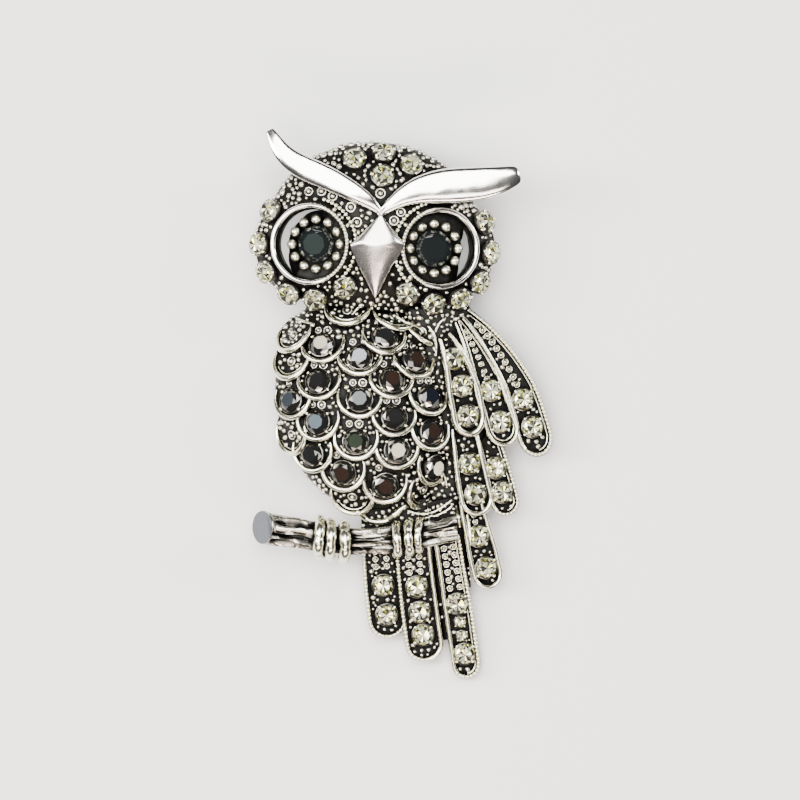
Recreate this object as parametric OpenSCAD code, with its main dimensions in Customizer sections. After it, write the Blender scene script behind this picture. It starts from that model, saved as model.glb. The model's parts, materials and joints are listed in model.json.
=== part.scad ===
/* [Body] */
// Width of the body dome
body_w = 19.8; // [18.8:0.1:20.8]
// Length of the body dome from the neck to the tail
body_h = 25.2; // [24:0.1:26.4]
// Rise of the body dome above the open back
body_dome = 5.3; // [4.9:0.1:5.8]
// Sideways lean of the body's lower end, as a share of half its width
body_lean = 0.12; // [0:0.01:0.2]
// Height of the open back above the surface that the pin lies on
back_z = 3.2; // [3:0.1:3.6]
// Wall of the hollow castings
shell_t = 1.2; // [1:0.05:1.4]

/* [Scales] */
// Diameter of a belly scale over its rim
scale_d = 5.5; // [5.2:0.1:5.8]
// Width of a scale's rim
scale_rim = 0.45; // [0.35:0.05:0.55]
// Height of a scale's rim above its floor
scale_lip = 0.35; // [0.25:0.05:0.5]
// Tilt that raises the lower edge of a scale, in degrees
scale_tilt = 13; // [8:1:16]
// Diameter of a belly stone
belly_stone_d = 2.8; // [2.5:0.1:3]

/* [Feathers] */
// Width of a full feather over its rims
feather_w = 4; // [3.7:0.1:4.2]
// Thickness of a feather
feather_t = 1.4; // [1.2:0.1:1.6]
// Width of a feather's rim
feather_rim = 0.5; // [0.4:0.05:0.6]
// Depth of a feather's floor below its rim
feather_sink = 0.5; // [0.3:0.05:0.6]
// Fall of the outer edge of a wing feather for each unit of width
wing_roll = 0.22; // [0.1:0.02:0.26]
// Fall of the outer edge of a tail feather for each unit of width
tail_roll = 0.06; // [0:0.02:0.1]
// Diameter of a clear stone
clear_stone_d = 2.4; // [2.2:0.1:2.5]
// Diameter of a small clear stone near the tail's tip
small_stone_d = 1.3; // [1.1:0.1:1.4]

/* [Branch and feet] */
// Thickness of the branch at the feet
branch_d = 2.9; // [2.6:0.1:3.2]
// Thickness of a toe
toe_d = 1; // [0.8:0.05:1.2]

/* [Head] */
// Width of the head dome
head_w = 23.9; // [23:0.1:24.8]
// Length of the head dome from the crown to the chin
head_h = 19.8; // [19:0.1:20.6]
// Rise of the head dome above its back
head_dome = 4.6; // [4.2:0.1:5]
// Sideways place of the head from the body's middle
head_side = 1.1; // [0.8:0.1:1.4]
// Length of the chin that lies over the body
chin_lap = 3.3; // [3:0.1:3.6]
// Thickness of the body's tongue that carries the head
tongue_t = 1.4; // [1.2:0.1:1.6]
// Width of the tongue
tongue_w = 6.8; // [6:0.1:7.5]
// Diameter of the head's stud through the tongue
stud_d = 2; // [1.6:0.1:2.4]

/* [Eyes] */
// Outer diameter of the ring round an eye
eye_ring_d = 9.2; // [8.9:0.1:9.5]
// Width of the eye ring's rim
eye_rim = 0.55; // [0.45:0.05:0.65]
// Width of the stone-set cheek round an eye ring
cheek_w = 2.7; // [2.6:0.05:2.9]
// Fall of the cheek away from the eye ring, in degrees
cheek_slope = 30; // [26:1:34]
// Outward tilt of an eye, in degrees
eye_tilt = 14.5; // [11:0.5:16]
// Height of an eye ring's middle above the head's back
eye_rise = 4; // [3.8:0.1:4.2]
// Depth of the eye's beaded plate below its ring
eye_sink = 0.9; // [0.7:0.1:1.1]
// Diameter of the eye's beaded plate
eye_plate_d = 6.5; // [6.3:0.1:6.7]
// Diameter of an eye stone
eye_stone_d = 4.2; // [3.9:0.1:4.4]
// Diameter of a bead round an eye stone
eye_bead_d = 0.95; // [0.8:0.05:1.05]
// Number of beads round an eye stone
eye_beads = 12; // [10:1:13]

/* [Brows and beak] */
// Full width of a brow
brow_w = 3.95; // [3.6:0.05:4.3]
// Rise of a brow above its middle line
brow_t = 0.75; // [0.6:0.05:0.9]
// Depth of a brow's root below its middle line
brow_keel = 2.3; // [2.1:0.1:2.6]
// Width of the beak
beak_w = 5.8; // [5.4:0.1:6.2]
// Length of the beak
beak_h = 9.3; // [8.9:0.1:9.7]
// Rise of the beak's peak above the head dome
beak_rise = 1.7; // [1.4:0.1:2]

/* [Settings] */
// Wall of a stone's cup
cup_wall = 0.22; // [0.18:0.01:0.28]
// Clearance between a stone and its seat
stone_gap = 0.05; // [0.04:0.01:0.07]
// Clearance between two castings
seat_gap = 0.05; // [0.04:0.01:0.1]

/* [Pin] */
// Length of the pin's bar
pin_len = 13.5; // [13:0.5:14]
// Width of the pin's bar
pin_bar_w = 2.6; // [2.4:0.1:2.8]
// Thickness of the pin's bar
pin_bar_t = 0.6; // [0.5:0.05:0.7]
// Diameter of the pin's hinge drum and catch
pin_drum_d = 2; // [1.8:0.1:2.2]
// Diameter of the pin's stem
pin_stem_d = 0.8; // [0.7:0.05:1]

/* [Hidden] */
// Place of the body's middle from the origin
body_x = -4.15;
body_y = 0.68;
head_back = back_z + tongue_t;
head_x = body_x + head_side;
head_y = body_y + body_h / 2 + head_h / 2 - chin_lap;
// Underside of the highest wing feather at its root
wing_lift = back_z + body_dome * 0.53;
pin_y = body_y + body_h * 0.3;
pin_x = body_x - body_w * 0.035;
stone_sides = 8;
// Turn of a stone and its cup about their axis
stone_twist = 29;
// Depth of a stone's back and height of its table from its seat line, in shares of its diameter
stone_base = 0.15;
stone_table = 0.22;
// Widening of a cup towards its rim
cup_flare = 1.05;
// Depth of a stone's back below a feather's floor
feather_seat = 0.08;
// Thickness of the thin discs that the hulls are drawn between
disc_t = 0.1;
cup_sides = 8;
scale_sides = 12;
dome_sides = 20;
dome_bands = 4;
hollow_sides = 16;
ring_sides = 24;
bury = 1;
far = 30;

// Belly scales: across and up from the body's middle, in shares of half its size
set_scales = [
    [0.24, 0.55], [-0.46, 0.48], [-0.04, 0.37], [0.58, 0.34], [-0.50, 0.16], [0.32, 0.17],
    [-0.80, -0.01], [-0.04, 0.00], [0.74, 0.02], [-0.51, -0.20], [0.35, -0.16], [-0.08, -0.37],
    [0.76, -0.29], [-0.57, -0.48], [0.38, -0.45], [-0.22, -0.65], [0.79, -0.60], [0.25, -0.76]
];
plain_scales = [
    [-0.18, 0.79], [-0.80, 0.56], [-0.82, 0.33], [-0.81, -0.33], [0.68, -0.82], [-0.12, -0.88]
];

// Feathers: root, bow and end in shares of half the body's size, width at root and end in
// shares of feather_w, underside at root and end in shares of wing_lift, stones along it
wing_feathers = [
    [[1.16, 0.78], [1.77, 0.37], [2.02, -0.51], 0.34, 1.00, 0.75, 0.47, [0.68, 0.84]],
    [[1.09, 0.71], [1.42, 0.31], [1.64, -0.42], 0.35, 0.97, 0.87, 0.62, [0.62, 0.84]],
    [[0.92, 0.57], [1.15, 0.27], [1.23, -0.34], 0.48, 1.00, 1.00, 0.77, [0.29, 0.57, 0.83]],
    [[1.39, -0.27], [1.53, -0.62], [1.66, -1.04], 0.70, 0.82, 0.60, 0.45, [0.46, 0.74]],
    [[1.15, -0.25], [1.22, -0.62], [1.33, -1.04], 0.80, 0.97, 0.70, 0.57, [0.42, 0.76]],
    [[1.21, -0.88], [1.33, -1.25], [1.46, -1.70], 0.68, 0.88, 0.58, 0.37, [0.44, 0.78]]
];
tail_feathers = [
    [[0.18, -0.90], [0.18, -1.56], [0.31, -2.14], 1.00, 1.10, 0.58, 0.20, [0.60, 0.82]],
    [[0.52, -0.90], [0.59, -1.70], [0.73, -2.35], 1.00, 1.08, 0.63, 0.15, [0.51, 0.67, 0.82]],
    [[0.88, -0.90], [1.06, -1.70], [1.20, -2.51], 0.75, 0.84, 0.68, 0.00, [0.58, 0.86]]
];
// Small stones along the last tail feather
small_stones = [0.68, 0.76];
end_stations = 4;
path_stations = 3;

// Branch: across and down in shares of half the body's size, thickness in shares of branch_d
branch_line = [
    [-1.15, -1.14, 1.38], [-1.04, -1.16, 1.18], [-0.72, -1.19, 1.19], [-0.20, -1.27, 1.00],
    [0.39, -1.25, 0.96], [1.07, -1.15, 1.00]
];
branch_z = wing_lift * 0.93;
toes_across = [-0.49, -0.38, -0.21, 0.38, 0.53, 0.64];
toe_reach = 1.35;

// Body's shoulder under the wing: across and up in shares of half the body's size, underside
// height in shares of wing_lift
shoulder = [
    [0.72, 0.62, 0.93], [1.10, 0.68, 0.86], [0.80, -0.30, 0.80], [1.36, -0.26, 0.68],
    [1.20, -0.60, 0.60]
];

// Crown stones: across and up from the head's middle, in shares of half its size
crown_stones = [[-0.17, 0.79], [0.10, 0.86], [0.09, 0.60], [0.36, 0.72]];
// Eyes: across and up from the head's middle in shares of half its size, side of the beak
left_eye = [-0.59, -0.17, 1];
right_eye = [0.63, -0.22, -1];
left_cheek = [142, 180, 210, 244, 273, 308];
right_cheek = [29, -4, -38, -65, -95, -125];
// Pierced crescent of each eye: first and last angle
left_crescent = [77, 236];
right_crescent = [-58, 41];

// Brows: across and up in shares of half the head, width in shares of brow_w, height in shares
// of head_dome, root's depth in shares of brow_keel
left_brow = [
    [-0.955, 1.09, 0.16, 0.78, 0.12], [-0.87, 0.88, 0.54, 0.86, 0.30], [-0.71, 0.72, 0.69, 0.93, 0.70],
    [-0.46, 0.60, 0.69, 1.00, 1.00], [-0.22, 0.45, 0.60, 1.05, 1.00], [-0.03, 0.31, 0.40, 1.06, 0.80],
    [0.08, 0.18, 0.14, 1.00, 0.50]
];
right_brow = [
    [0.05, 0.15, 0.15, 0.98, 0.48], [0.21, 0.32, 0.43, 1.07, 0.80], [0.40, 0.44, 0.74, 1.05, 1.00],
    [0.66, 0.49, 1.00, 1.02, 1.00], [0.95, 0.50, 1.00, 0.98, 0.60], [1.20, 0.55, 0.77, 0.93, 0.30],
    [1.35, 0.62, 0.30, 0.88, 0.15]
];
beak_at = [0.02, -0.19];

belly_count = len(set_scales);
cheek_count = len(left_cheek);

function unit(v) = v / norm(v);
function mix(a, b, s) = a + (b - a) * s;
function bow(f, s) = mix(mix(f[0], f[1], s), mix(f[1], f[2], s), s);
function body_at(p) = [body_x + p[0] * body_w / 2, body_y + p[1] * body_h / 2];
function head_at(p) = [head_x + p[0] * head_w / 2, head_y + p[1] * head_h / 2];
// How far a point is from a dome's middle, squared and kept short of its rim
function reach(u, v) = min(0.92, u * u + v * v);
function body_reach(p) = reach(p[0] + body_lean * p[1], p[1]);
function body_top(p) = concat(body_at(p), back_z + body_dome * sqrt(1 - body_reach(p)));
function body_normal(p) =
    let (u = p[0] + body_lean * p[1])
    unit([u / body_w, (u * body_lean + p[1]) / body_h, sqrt(1 - body_reach(p)) / body_dome / 2]);
function head_top(p) = concat(head_at(p), head_back + head_dome * sqrt(1 - reach(p[0], p[1])));
function head_normal(p) =
    unit([p[0] / head_w, p[1] / head_h, sqrt(1 - reach(p[0], p[1])) / head_dome / 2]);

// Closed solid through rings of points that all turn the same way
module loft(rings) {
    sides = len(rings[0]);
    last = len(rings) - 1;
    polyhedron(
        points = [for (ring = rings) each ring],
        faces = concat(
            [[for (i = [0:sides - 1]) i]],
            [for (k = [0:last - 1], i = [0:sides - 1])
                [k * sides + i, (k + 1) * sides + i, (k + 1) * sides + (i + 1) % sides]],
            [for (k = [0:last - 1], i = [0:sides - 1])
                [k * sides + i, (k + 1) * sides + (i + 1) % sides, k * sides + (i + 1) % sides]],
            [[for (i = [sides - 1:-1:0]) last * sides + i]]
        ),
        convexity = 6
    );
}

// Puts a part at p with its axis along the direction n
module seat(p, n) {
    translate(p) rotate(a = acos(n[2]), v = [-n[1], n[0], 0]) children();
}

// Upper half of a ball of radius one
module unit_dome(sides, bands) {
    rotate_extrude($fn = sides)
        polygon(concat([[0, 0]], [for (i = [0:bands]) [cos(90 * i / bands), sin(90 * i / bands)]]));
}

// Dome of half width a, half length b and rise h whose lower end leans by a share of a
module dome(a, b, h, lean, sides, bands) {
    multmatrix([[a, -lean * a, 0, 0], [0, b, 0, 0], [0, 0, h, 0]]) unit_dome(sides, bands);
}

module belly_dome(inset, sides, bands) {
    translate([body_x, body_y, back_z])
        dome(body_w / 2 - inset, body_h / 2 - inset, body_dome - inset, body_lean, sides, bands);
}

module head_bowl(inset, sides, bands) {
    translate([head_x, head_y, head_back])
        dome(head_w / 2 - inset, head_h / 2 - inset, head_dome - inset, 0, sides, bands);
}

// Flat-backed cut stone with eight crown facets and a table
module cut_stone(d) {
    loft([for (r = [[0.5, -stone_base], [0.3, stone_table]]) [for (i = [0:stone_sides - 1])
        let (turn = stone_twist + 360 * i / stone_sides)
        [d * r[0] * cos(turn), d * r[0] * sin(turn), d * r[1]]]]);
}

// Room that a stone takes in its casting, open above
module stone_pocket(d) {
    rotate(stone_twist) translate([0, 0, -d * stone_base - stone_gap])
        cylinder(h = d * 0.8, d = d + 2 * stone_gap / cos(180 / stone_sides), $fn = stone_sides);
}

// Metal cup round a stone, tapering into the casting
module cup(d) {
    rotate(stone_twist) hull() {
        translate([0, 0, -disc_t / 2])
            cylinder(h = disc_t, d = (d + 2 * (cup_wall + stone_gap)) * cup_flare, $fn = cup_sides);
        translate([0, 0, -d * stone_base - 3 * cup_wall]) cylinder(h = disc_t, d = d, $fn = cup_sides);
    }
}

// Frame of a belly scale, with its stone's girdle at height zero
module on_scale(p) {
    seat(body_top(p), body_normal(p)) rotate([-scale_tilt, 0, 0]) children();
}

scale_up = scale_d * 0.095;
scale_stone_lift = belly_stone_d * 0.14;

// Belly scale: a shallow dish whose lower edge stands proud
module scale_dish() {
    translate([0, scale_up, 0]) difference() {
        translate([0, 0, -bury]) cylinder(h = bury + scale_lip, d = scale_d, $fn = scale_sides);
        cylinder(h = scale_lip + bury, d = scale_d - 2 * scale_rim, $fn = scale_sides);
    }
}

function feather_path(f) = [for (k = [0:2]) body_at(f[k])];
function feather_run(f) = norm(body_at(f[2]) - body_at(f[0]));
function feather_along(f, s) =
    let (p = feather_path(f))
    unit(mix(p[1] - p[0], p[2] - p[1], s));
function feather_under(f, s) = wing_lift * mix(f[5], f[6], s);
// Stations along a feather whose rounded end has the radius r, as pairs of place and width share
function stations(run, r, inset) =
    let (tip = 1 - 1.15 * inset / run, turn = tip - r / run, start = -inset / run)
    concat(
        [for (i = [0:path_stations - 1]) [mix(start, turn, i / path_stations), 1]],
        [for (i = [0:end_stations]) [mix(turn, tip, sin(84 * i / end_stations)), cos(84 * i / end_stations)]]
    );
function feather_section(f, s, half, lo, hi, roll) =
    let (p = bow(feather_path(f), s), t = feather_along(f, s), side = [-t[1], t[0]])
    let (z = feather_under(f, s), near = p - side * half, out = p + side * half)
    [[near[0], near[1], z + lo + roll * half], [out[0], out[1], z + lo - roll * half],
     [out[0], out[1], z + hi - roll * half], [near[0], near[1], z + hi + roll * half]];
module feather_block(f, inset, lo, hi, roll) {
    r = feather_w / 2 * f[4] - inset;
    loft([for (st = stations(feather_run(f), r, inset))
        feather_section(
            f, st[0], st[1] * (feather_w / 2 * mix(f[3], f[4], min(1, st[0] * 1.6)) - inset), lo, hi, roll)]);
}

// Feather with a raised rim round a sunk floor
module feather(f, roll) {
    difference() {
        feather_block(f, 0, 0, feather_t, roll);
        feather_block(f, feather_rim, feather_t - feather_sink, feather_t + bury, roll);
    }
}

// Frame of a stone on a feather, with its girdle at height zero
module on_feather(f, s, roll, d) {
    t = feather_along(f, s);
    fall = wing_lift * (f[6] - f[5]) / feather_run(f);
    p = bow(feather_path(f), s);
    z = feather_under(f, s) + feather_t - feather_sink + d * stone_base - feather_seat;
    seat([p[0], p[1], z], unit([-roll * t[1] - fall * t[0], roll * t[0] - fall * t[1], 1])) children();
}

module on_feather_stones(list, roll) {
    for (f = list, s = f[7]) on_feather(f, s, roll, clear_stone_d) children();
}

module on_small_stones() {
    for (s = small_stones) on_feather(tail_feathers[2], s, tail_roll, small_stone_d) children();
}

function branch_point(b) = concat(body_at(b), branch_z);

// Branch with a cut, flared left end
module branch() {
    loft([for (b = branch_line) [for (i = [0:9])
        let (r = branch_d / 2 * b[2])
        branch_point(b) + [0, r * cos(36 * i + 7), r * sin(36 * i + 7)]]]);
}

// Height of the branch's middle line where x is a share of half the body's width
function branch_down(x) = lookup(x, [for (b = branch_line) [b[0], b[1]]]);

// Toe gripping the branch from above
module toe(x) {
    p = concat(body_at([x, branch_down(x)]), branch_z);
    side = branch_d / 2 * toe_reach;
    hull() {
        for (q = [[-side, -branch_d * 0.15], [0, branch_d * 0.47], [side, -branch_d * 0.15]])
            translate(p + [0, q[0], q[1]]) rotate([0, 90, 17]) sphere(d = toe_d, $fn = 6);
    }
}

// Casting between the body dome and the undersides of the wing feathers
module wing_root() {
    for (i = [0:len(shoulder) - 3]) hull() {
        for (k = [i:i + 2])
            translate(concat(body_at(shoulder[k]), wing_lift * shoulder[k][2]))
                sphere(d = feather_t, $fn = 6);
    }
}

// Tongue behind the head, with a hole for the head's stud
stud_at = [head_x, head_y - head_h / 2 + chin_lap * 1.65];
module tongue() {
    low = body_y + body_h / 2 - chin_lap * 0.8;
    high = stud_at[1] + stud_d * 1.6;
    hull() {
        for (x = [-1, 1], y = [low, high])
            translate([stud_at[0] + x * (tongue_w / 2 - stud_d / 2), y, back_z])
                cylinder(h = tongue_t - seat_gap, d = stud_d, $fn = cup_sides);
    }
}

// Outline that the head covers, seen from above
module head_outline() {
    translate([head_x, head_y]) scale([head_w, head_h]) circle(d = 1, $fn = 48);
    for (eye = [left_eye, right_eye]) translate(head_at(eye)) circle(r = mound_r, $fn = 48);
}

module body_casting() {
    color("silver") difference() {
        union() {
            difference() {
                union() {
                    belly_dome(0, dome_sides, dome_bands);
                    for (p = concat(set_scales, plain_scales)) on_scale(p) scale_dish();
                    for (p = set_scales) on_scale(p) translate([0, 0, scale_stone_lift]) cup(belly_stone_d);
                    wing_root();
                }
                translate([0, 0, -bury]) belly_dome(shell_t, hollow_sides, 3);
                translate([-far, -far, back_z - far]) cube([2 * far, 2 * far, far]);
                translate([0, 0, head_back - seat_gap])
                    linear_extrude(far) offset(r = 2 * seat_gap) head_outline();
            }
            tongue();
            for (f = wing_feathers) feather(f, wing_roll);
            for (f = tail_feathers) feather(f, tail_roll);
            branch();
            for (x = toes_across) toe(x);
        }
        for (p = set_scales) on_scale(p) translate([0, 0, scale_stone_lift]) stone_pocket(belly_stone_d);
        on_feather_stones(wing_feathers, wing_roll) stone_pocket(clear_stone_d);
        on_feather_stones(tail_feathers, tail_roll) stone_pocket(clear_stone_d);
        on_small_stones() stone_pocket(small_stone_d);
        translate([stud_at[0], stud_at[1], 0]) cylinder(h = far, d = stud_d + 2 * seat_gap, $fn = 24);
    }
}

eye_z = head_back + eye_rise;
ring_r = eye_ring_d / 2;
mound_r = ring_r + cheek_w;
cheek_drop = cheek_w * tan(cheek_slope);
plate_t = shell_t + 0.4;
plate_inset = 0.3;
// Shift of the beaded plate towards the beak, short of the ring by its inset
plate_shift = ring_r - eye_rim - eye_plate_d / 2 - plate_inset;
// Wall left between the crescent and the ring's rim
crescent_wall = 0.25;
// Height of the cheek's foot, and how far it stands inside the cheek
mound_foot = 0.3;

// Frame of an eye, with its ring's top at height zero
module on_eye(eye) {
    translate(concat(head_at(eye), eye_z)) rotate([0, -eye[2] * eye_tilt, 0]) children();
}

// Solid cheek that slopes away from an eye ring
module mound(eye) {
    hull() {
        on_eye(eye) translate([0, 0, -cheek_drop])
            cylinder(h = cheek_drop, r1 = mound_r, r2 = ring_r, $fn = ring_sides);
        translate(concat(head_at(eye), head_back))
            cylinder(h = mound_foot, r = mound_r - mound_foot, $fn = ring_sides);
    }
}

// Hollow behind a cheek
module mound_hollow(eye) {
    hull() {
        on_eye(eye) translate([0, 0, -eye_sink - plate_t])
            cylinder(h = disc_t, r = ring_r - 2 * eye_rim, $fn = hollow_sides);
        translate(concat(head_at(eye), head_back - bury))
            cylinder(h = mound_foot, r = mound_r - 1.5 * shell_t, $fn = hollow_sides);
    }
}

// Beaded plate inside an eye ring, pierced by a crescent on the outer side
module eye_plate(eye, crescent) {
    on_eye(eye) translate([0, 0, -eye_sink - plate_t]) difference() {
        cylinder(h = plate_t, r = ring_r - eye_rim / 2, $fn = ring_sides);
        difference() {
            translate([0, 0, -bury])
                cylinder(h = far, r = ring_r - eye_rim - crescent_wall, $fn = ring_sides);
            translate([eye[2] * plate_shift, 0, -2 * bury])
                cylinder(h = 2 * far, d = eye_plate_d, $fn = ring_sides);
            slice(crescent[1], crescent[0] + 360);
        }
    }
}

// Wedge about the axis between two angles
module slice(from, to) {
    translate([0, 0, -far / 2]) linear_extrude(far)
        polygon(concat([[0, 0]], [for (i = [0:6]) let (a = mix(from, to, i / 6)) far * [cos(a), sin(a)]]));
}

module eye_bead_ring(eye) {
    for (i = [0:eye_beads - 1]) on_eye(eye)
        translate([eye[2] * plate_shift, 0, -eye_sink + eye_bead_d * 0.12])
            rotate(360 * i / eye_beads) translate([(eye_stone_d + eye_bead_d) / 2 + cup_wall, 0, 0])
                sphere(d = eye_bead_d, $fn = 5);
}

module on_eye_stone(eye) {
    on_eye(eye) translate([eye[2] * plate_shift, 0, -eye_sink + eye_stone_d * 0.06]) children();
}

cheek_stone_r = ring_r + cheek_w * 0.58;
module on_cheek_stone(eye, turn) {
    on_eye(eye) rotate(turn) translate([cheek_stone_r, 0, -cheek_drop * 0.55]) rotate([0, cheek_slope, 0])
        translate([0, 0, clear_stone_d * 0.12]) children();
}

module on_cheeks() {
    for (turn = left_cheek) on_cheek_stone(left_eye, turn) children();
    for (turn = right_cheek) on_cheek_stone(right_eye, turn) children();
}

module on_crown(p) {
    seat(head_top(p), head_normal(p)) translate([0, 0, clear_stone_d * 0.15]) children();
}

// Smooth brow through its table's rows
module brow(rows) {
    last = len(rows) - 1;
    loft([for (k = [0:last])
        let (row = rows[k], along = unit(head_at(rows[min(last, k + 1)]) - head_at(rows[max(0, k - 1)])))
        let (p = head_at(row), side = [-along[1], along[0]], half = row[2] * brow_w / 2)
        let (z = head_back + row[3] * head_dome, keel = brow_keel * row[4], up = brow_t * sqrt(row[2]))
        [for (c = [[-0.75, -keel], [0.75, -keel], [1, 0], [0.75, 0.6 * up], [0.3, up], [-0.3, up],
                   [-0.75, 0.6 * up], [-1, 0]])
            [p[0] + side[0] * half * c[0], p[1] + side[1] * half * c[0], z + c[1]]]]);
}

// Kite-shaped beak with a high middle
beak_edge = 0.5;
beak_root = 3;
module beak() {
    dome_z = head_top(beak_at)[2];
    hull() {
        for (q = [[0.11, 0.36, 0.1], [-0.44, 0, -0.5], [0.56, 0, -0.5], [0, -0.64, -1], [0, 0, beak_rise]])
            translate(concat(head_at(beak_at) + [q[0] * beak_w, q[1] * beak_h], dome_z + q[2]))
                sphere(d = beak_edge, $fn = 8);
        translate(concat(head_at(beak_at), dome_z - beak_root))
            cylinder(h = beak_edge, d = beak_w / 2, $fn = 8);
    }
}

module head_casting() {
    color("silver") difference() {
        union() {
            difference() {
                union() {
                    head_bowl(0, dome_sides, dome_bands);
                    mound(left_eye);
                    mound(right_eye);
                    for (p = crown_stones) on_crown(p) cup(clear_stone_d);
                    on_cheeks() cup(clear_stone_d);
                    brow(left_brow);
                    brow(right_brow);
                    beak();
                }
                translate([-far, -far, head_back - far]) cube([2 * far, 2 * far, far]);
                translate([0, 0, -bury]) head_bowl(shell_t, hollow_sides, 3);
                for (eye = [left_eye, right_eye]) {
                    mound_hollow(eye);
                    on_eye(eye) translate([0, 0, -far / 2])
                        cylinder(h = far, r = ring_r - eye_rim, $fn = ring_sides);
                }
            }
            eye_plate(left_eye, left_crescent);
            eye_plate(right_eye, right_crescent);
            eye_bead_ring(left_eye);
            eye_bead_ring(right_eye);
            translate([stud_at[0], stud_at[1], head_back])
                cylinder(h = head_dome / 2, d = stud_d * 1.8, $fn = 16);
            translate([stud_at[0], stud_at[1], back_z])
                cylinder(h = tongue_t + bury, d = stud_d, $fn = 16);
        }
        for (p = crown_stones) on_crown(p) stone_pocket(clear_stone_d);
        on_cheeks() stone_pocket(clear_stone_d);
        for (eye = [left_eye, right_eye]) on_eye_stone(eye) stone_pocket(eye_stone_d);
    }
}

drum_inset = 0.2;
// Closed pin across the back: bar, hinge drum, stem and catch in one piece
module pin_clasp() {
    post = pin_len / 2 - pin_drum_d / 2;
    drum_len = pin_bar_w - 2 * drum_inset;
    top = back_z - seat_gap;
    color("gainsboro") translate([pin_x, pin_y, 0]) {
        translate([-pin_len / 2, -pin_bar_w / 2, top - pin_bar_t]) cube([pin_len, pin_bar_w, pin_bar_t]);
        for (x = [-post, post])
            translate([x - pin_drum_d / 2, -pin_stem_d, pin_drum_d / 2])
                cube([pin_drum_d, 2 * pin_stem_d, top - pin_bar_t / 2 - pin_drum_d / 2]);
        translate([-post, drum_len / 2, pin_drum_d / 2]) rotate([90, 0, 0])
            cylinder(h = drum_len, d = pin_drum_d, $fn = 32);
        translate([post - pin_drum_d / 2, 0, pin_drum_d / 2]) rotate([0, 90, 0])
            cylinder(h = pin_drum_d, d = pin_drum_d, $fn = 32);
        translate([-post, 0, pin_drum_d / 2]) rotate([0, 90, 0])
            cylinder(h = 2 * post, d = pin_stem_d, $fn = 24);
    }
}

module belly_stone(i) {
    color("dimgray") on_scale(set_scales[i - 1]) translate([0, 0, scale_stone_lift]) cut_stone(belly_stone_d);
}

module crown_stone(i) {
    color("lightgray") on_crown(crown_stones[i - 1]) cut_stone(clear_stone_d);
}

module cheek_stone(eye, turn) {
    color("lightgray") on_cheek_stone(eye, turn) cut_stone(clear_stone_d);
}

module eye_stone(eye) {
    color("black") on_eye_stone(eye) cut_stone(eye_stone_d);
}

module wing_stones() {
    color("lightgray") on_feather_stones(wing_feathers, wing_roll) cut_stone(clear_stone_d);
}

module tail_stones() {
    color("lightgray") {
        on_feather_stones(tail_feathers, tail_roll) cut_stone(clear_stone_d);
        on_small_stones() cut_stone(small_stone_d);
    }
}

body_casting();
head_casting();
pin_clasp();
wing_stones();
tail_stones();
eye_stone(left_eye);  // eye_stone_left
eye_stone(right_eye);  // eye_stone_right
for (i = [1:belly_count]) belly_stone(i);
for (i = [1:len(crown_stones)]) crown_stone(i);
for (i = [1:cheek_count]) {
    cheek_stone(left_eye, left_cheek[i - 1]);
    cheek_stone(right_eye, right_cheek[i - 1]);
}
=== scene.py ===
import json
import random
from math import cos, exp, log, pi, radians, sin, sqrt, tan, tau

import bmesh
import bpy
from mathutils import Matrix, Vector, noise
from mathutils.bvhtree import BVHTree

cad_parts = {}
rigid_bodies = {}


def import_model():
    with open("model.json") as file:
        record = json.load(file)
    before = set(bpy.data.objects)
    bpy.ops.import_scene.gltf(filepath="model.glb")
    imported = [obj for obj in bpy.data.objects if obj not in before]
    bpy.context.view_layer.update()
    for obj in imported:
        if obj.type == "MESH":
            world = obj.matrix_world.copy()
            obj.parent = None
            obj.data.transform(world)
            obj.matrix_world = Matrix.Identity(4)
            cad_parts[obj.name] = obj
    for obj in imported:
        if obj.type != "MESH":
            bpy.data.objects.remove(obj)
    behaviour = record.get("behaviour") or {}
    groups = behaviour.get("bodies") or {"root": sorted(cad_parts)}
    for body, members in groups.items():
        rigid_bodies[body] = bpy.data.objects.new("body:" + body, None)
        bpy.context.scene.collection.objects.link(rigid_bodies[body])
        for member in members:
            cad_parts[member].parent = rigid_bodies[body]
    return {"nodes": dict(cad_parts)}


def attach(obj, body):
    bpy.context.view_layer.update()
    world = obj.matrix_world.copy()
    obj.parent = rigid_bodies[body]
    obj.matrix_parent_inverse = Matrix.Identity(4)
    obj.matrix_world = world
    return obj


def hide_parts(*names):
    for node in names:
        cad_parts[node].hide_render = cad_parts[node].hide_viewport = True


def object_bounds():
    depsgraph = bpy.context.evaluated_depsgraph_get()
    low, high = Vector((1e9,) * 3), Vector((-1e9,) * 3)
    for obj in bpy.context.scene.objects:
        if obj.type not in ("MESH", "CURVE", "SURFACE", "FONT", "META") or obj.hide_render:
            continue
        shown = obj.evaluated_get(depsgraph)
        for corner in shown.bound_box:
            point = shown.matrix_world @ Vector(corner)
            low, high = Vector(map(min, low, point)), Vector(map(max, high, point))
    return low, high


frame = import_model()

cadLow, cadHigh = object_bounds()
random.seed(7)
scene = bpy.context.scene
mm = 0.001  # pieces are modelled in millimetres and scaled once, when they are finished

# Sizes that the pieces share, as in the part's source
body = {"x": -4.15, "y": 0.68, "width": 19.8, "height": 25.2, "dome": 5.3, "lean": 0.12, "back": 3.2,
        "shell": 1.2}
head = {"width": 23.9, "height": 19.8, "dome": 4.6, "lean": 0, "shell": 1.2, "side": 1.1, "chinLap": 3.3,
        "tongue": 1.4}
head["x"] = body["x"] + head["side"]
head["y"] = body["y"] + body["height"] / 2 + head["height"] / 2 - head["chinLap"]
head["back"] = body["back"] + head["tongue"]
wingLift = body["back"] + body["dome"] * 0.53


# Small helpers
def mix(a, b, share):
    return a + (b - a) * share


def clamp(value):
    return min(1, max(0, value))


def spotOn(part, u, v, z=0.0):
    # u and v are shares of half the part's width and height
    return Vector((part["x"] + u * part["width"] / 2, part["y"] + v * part["height"] / 2, z))


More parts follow.
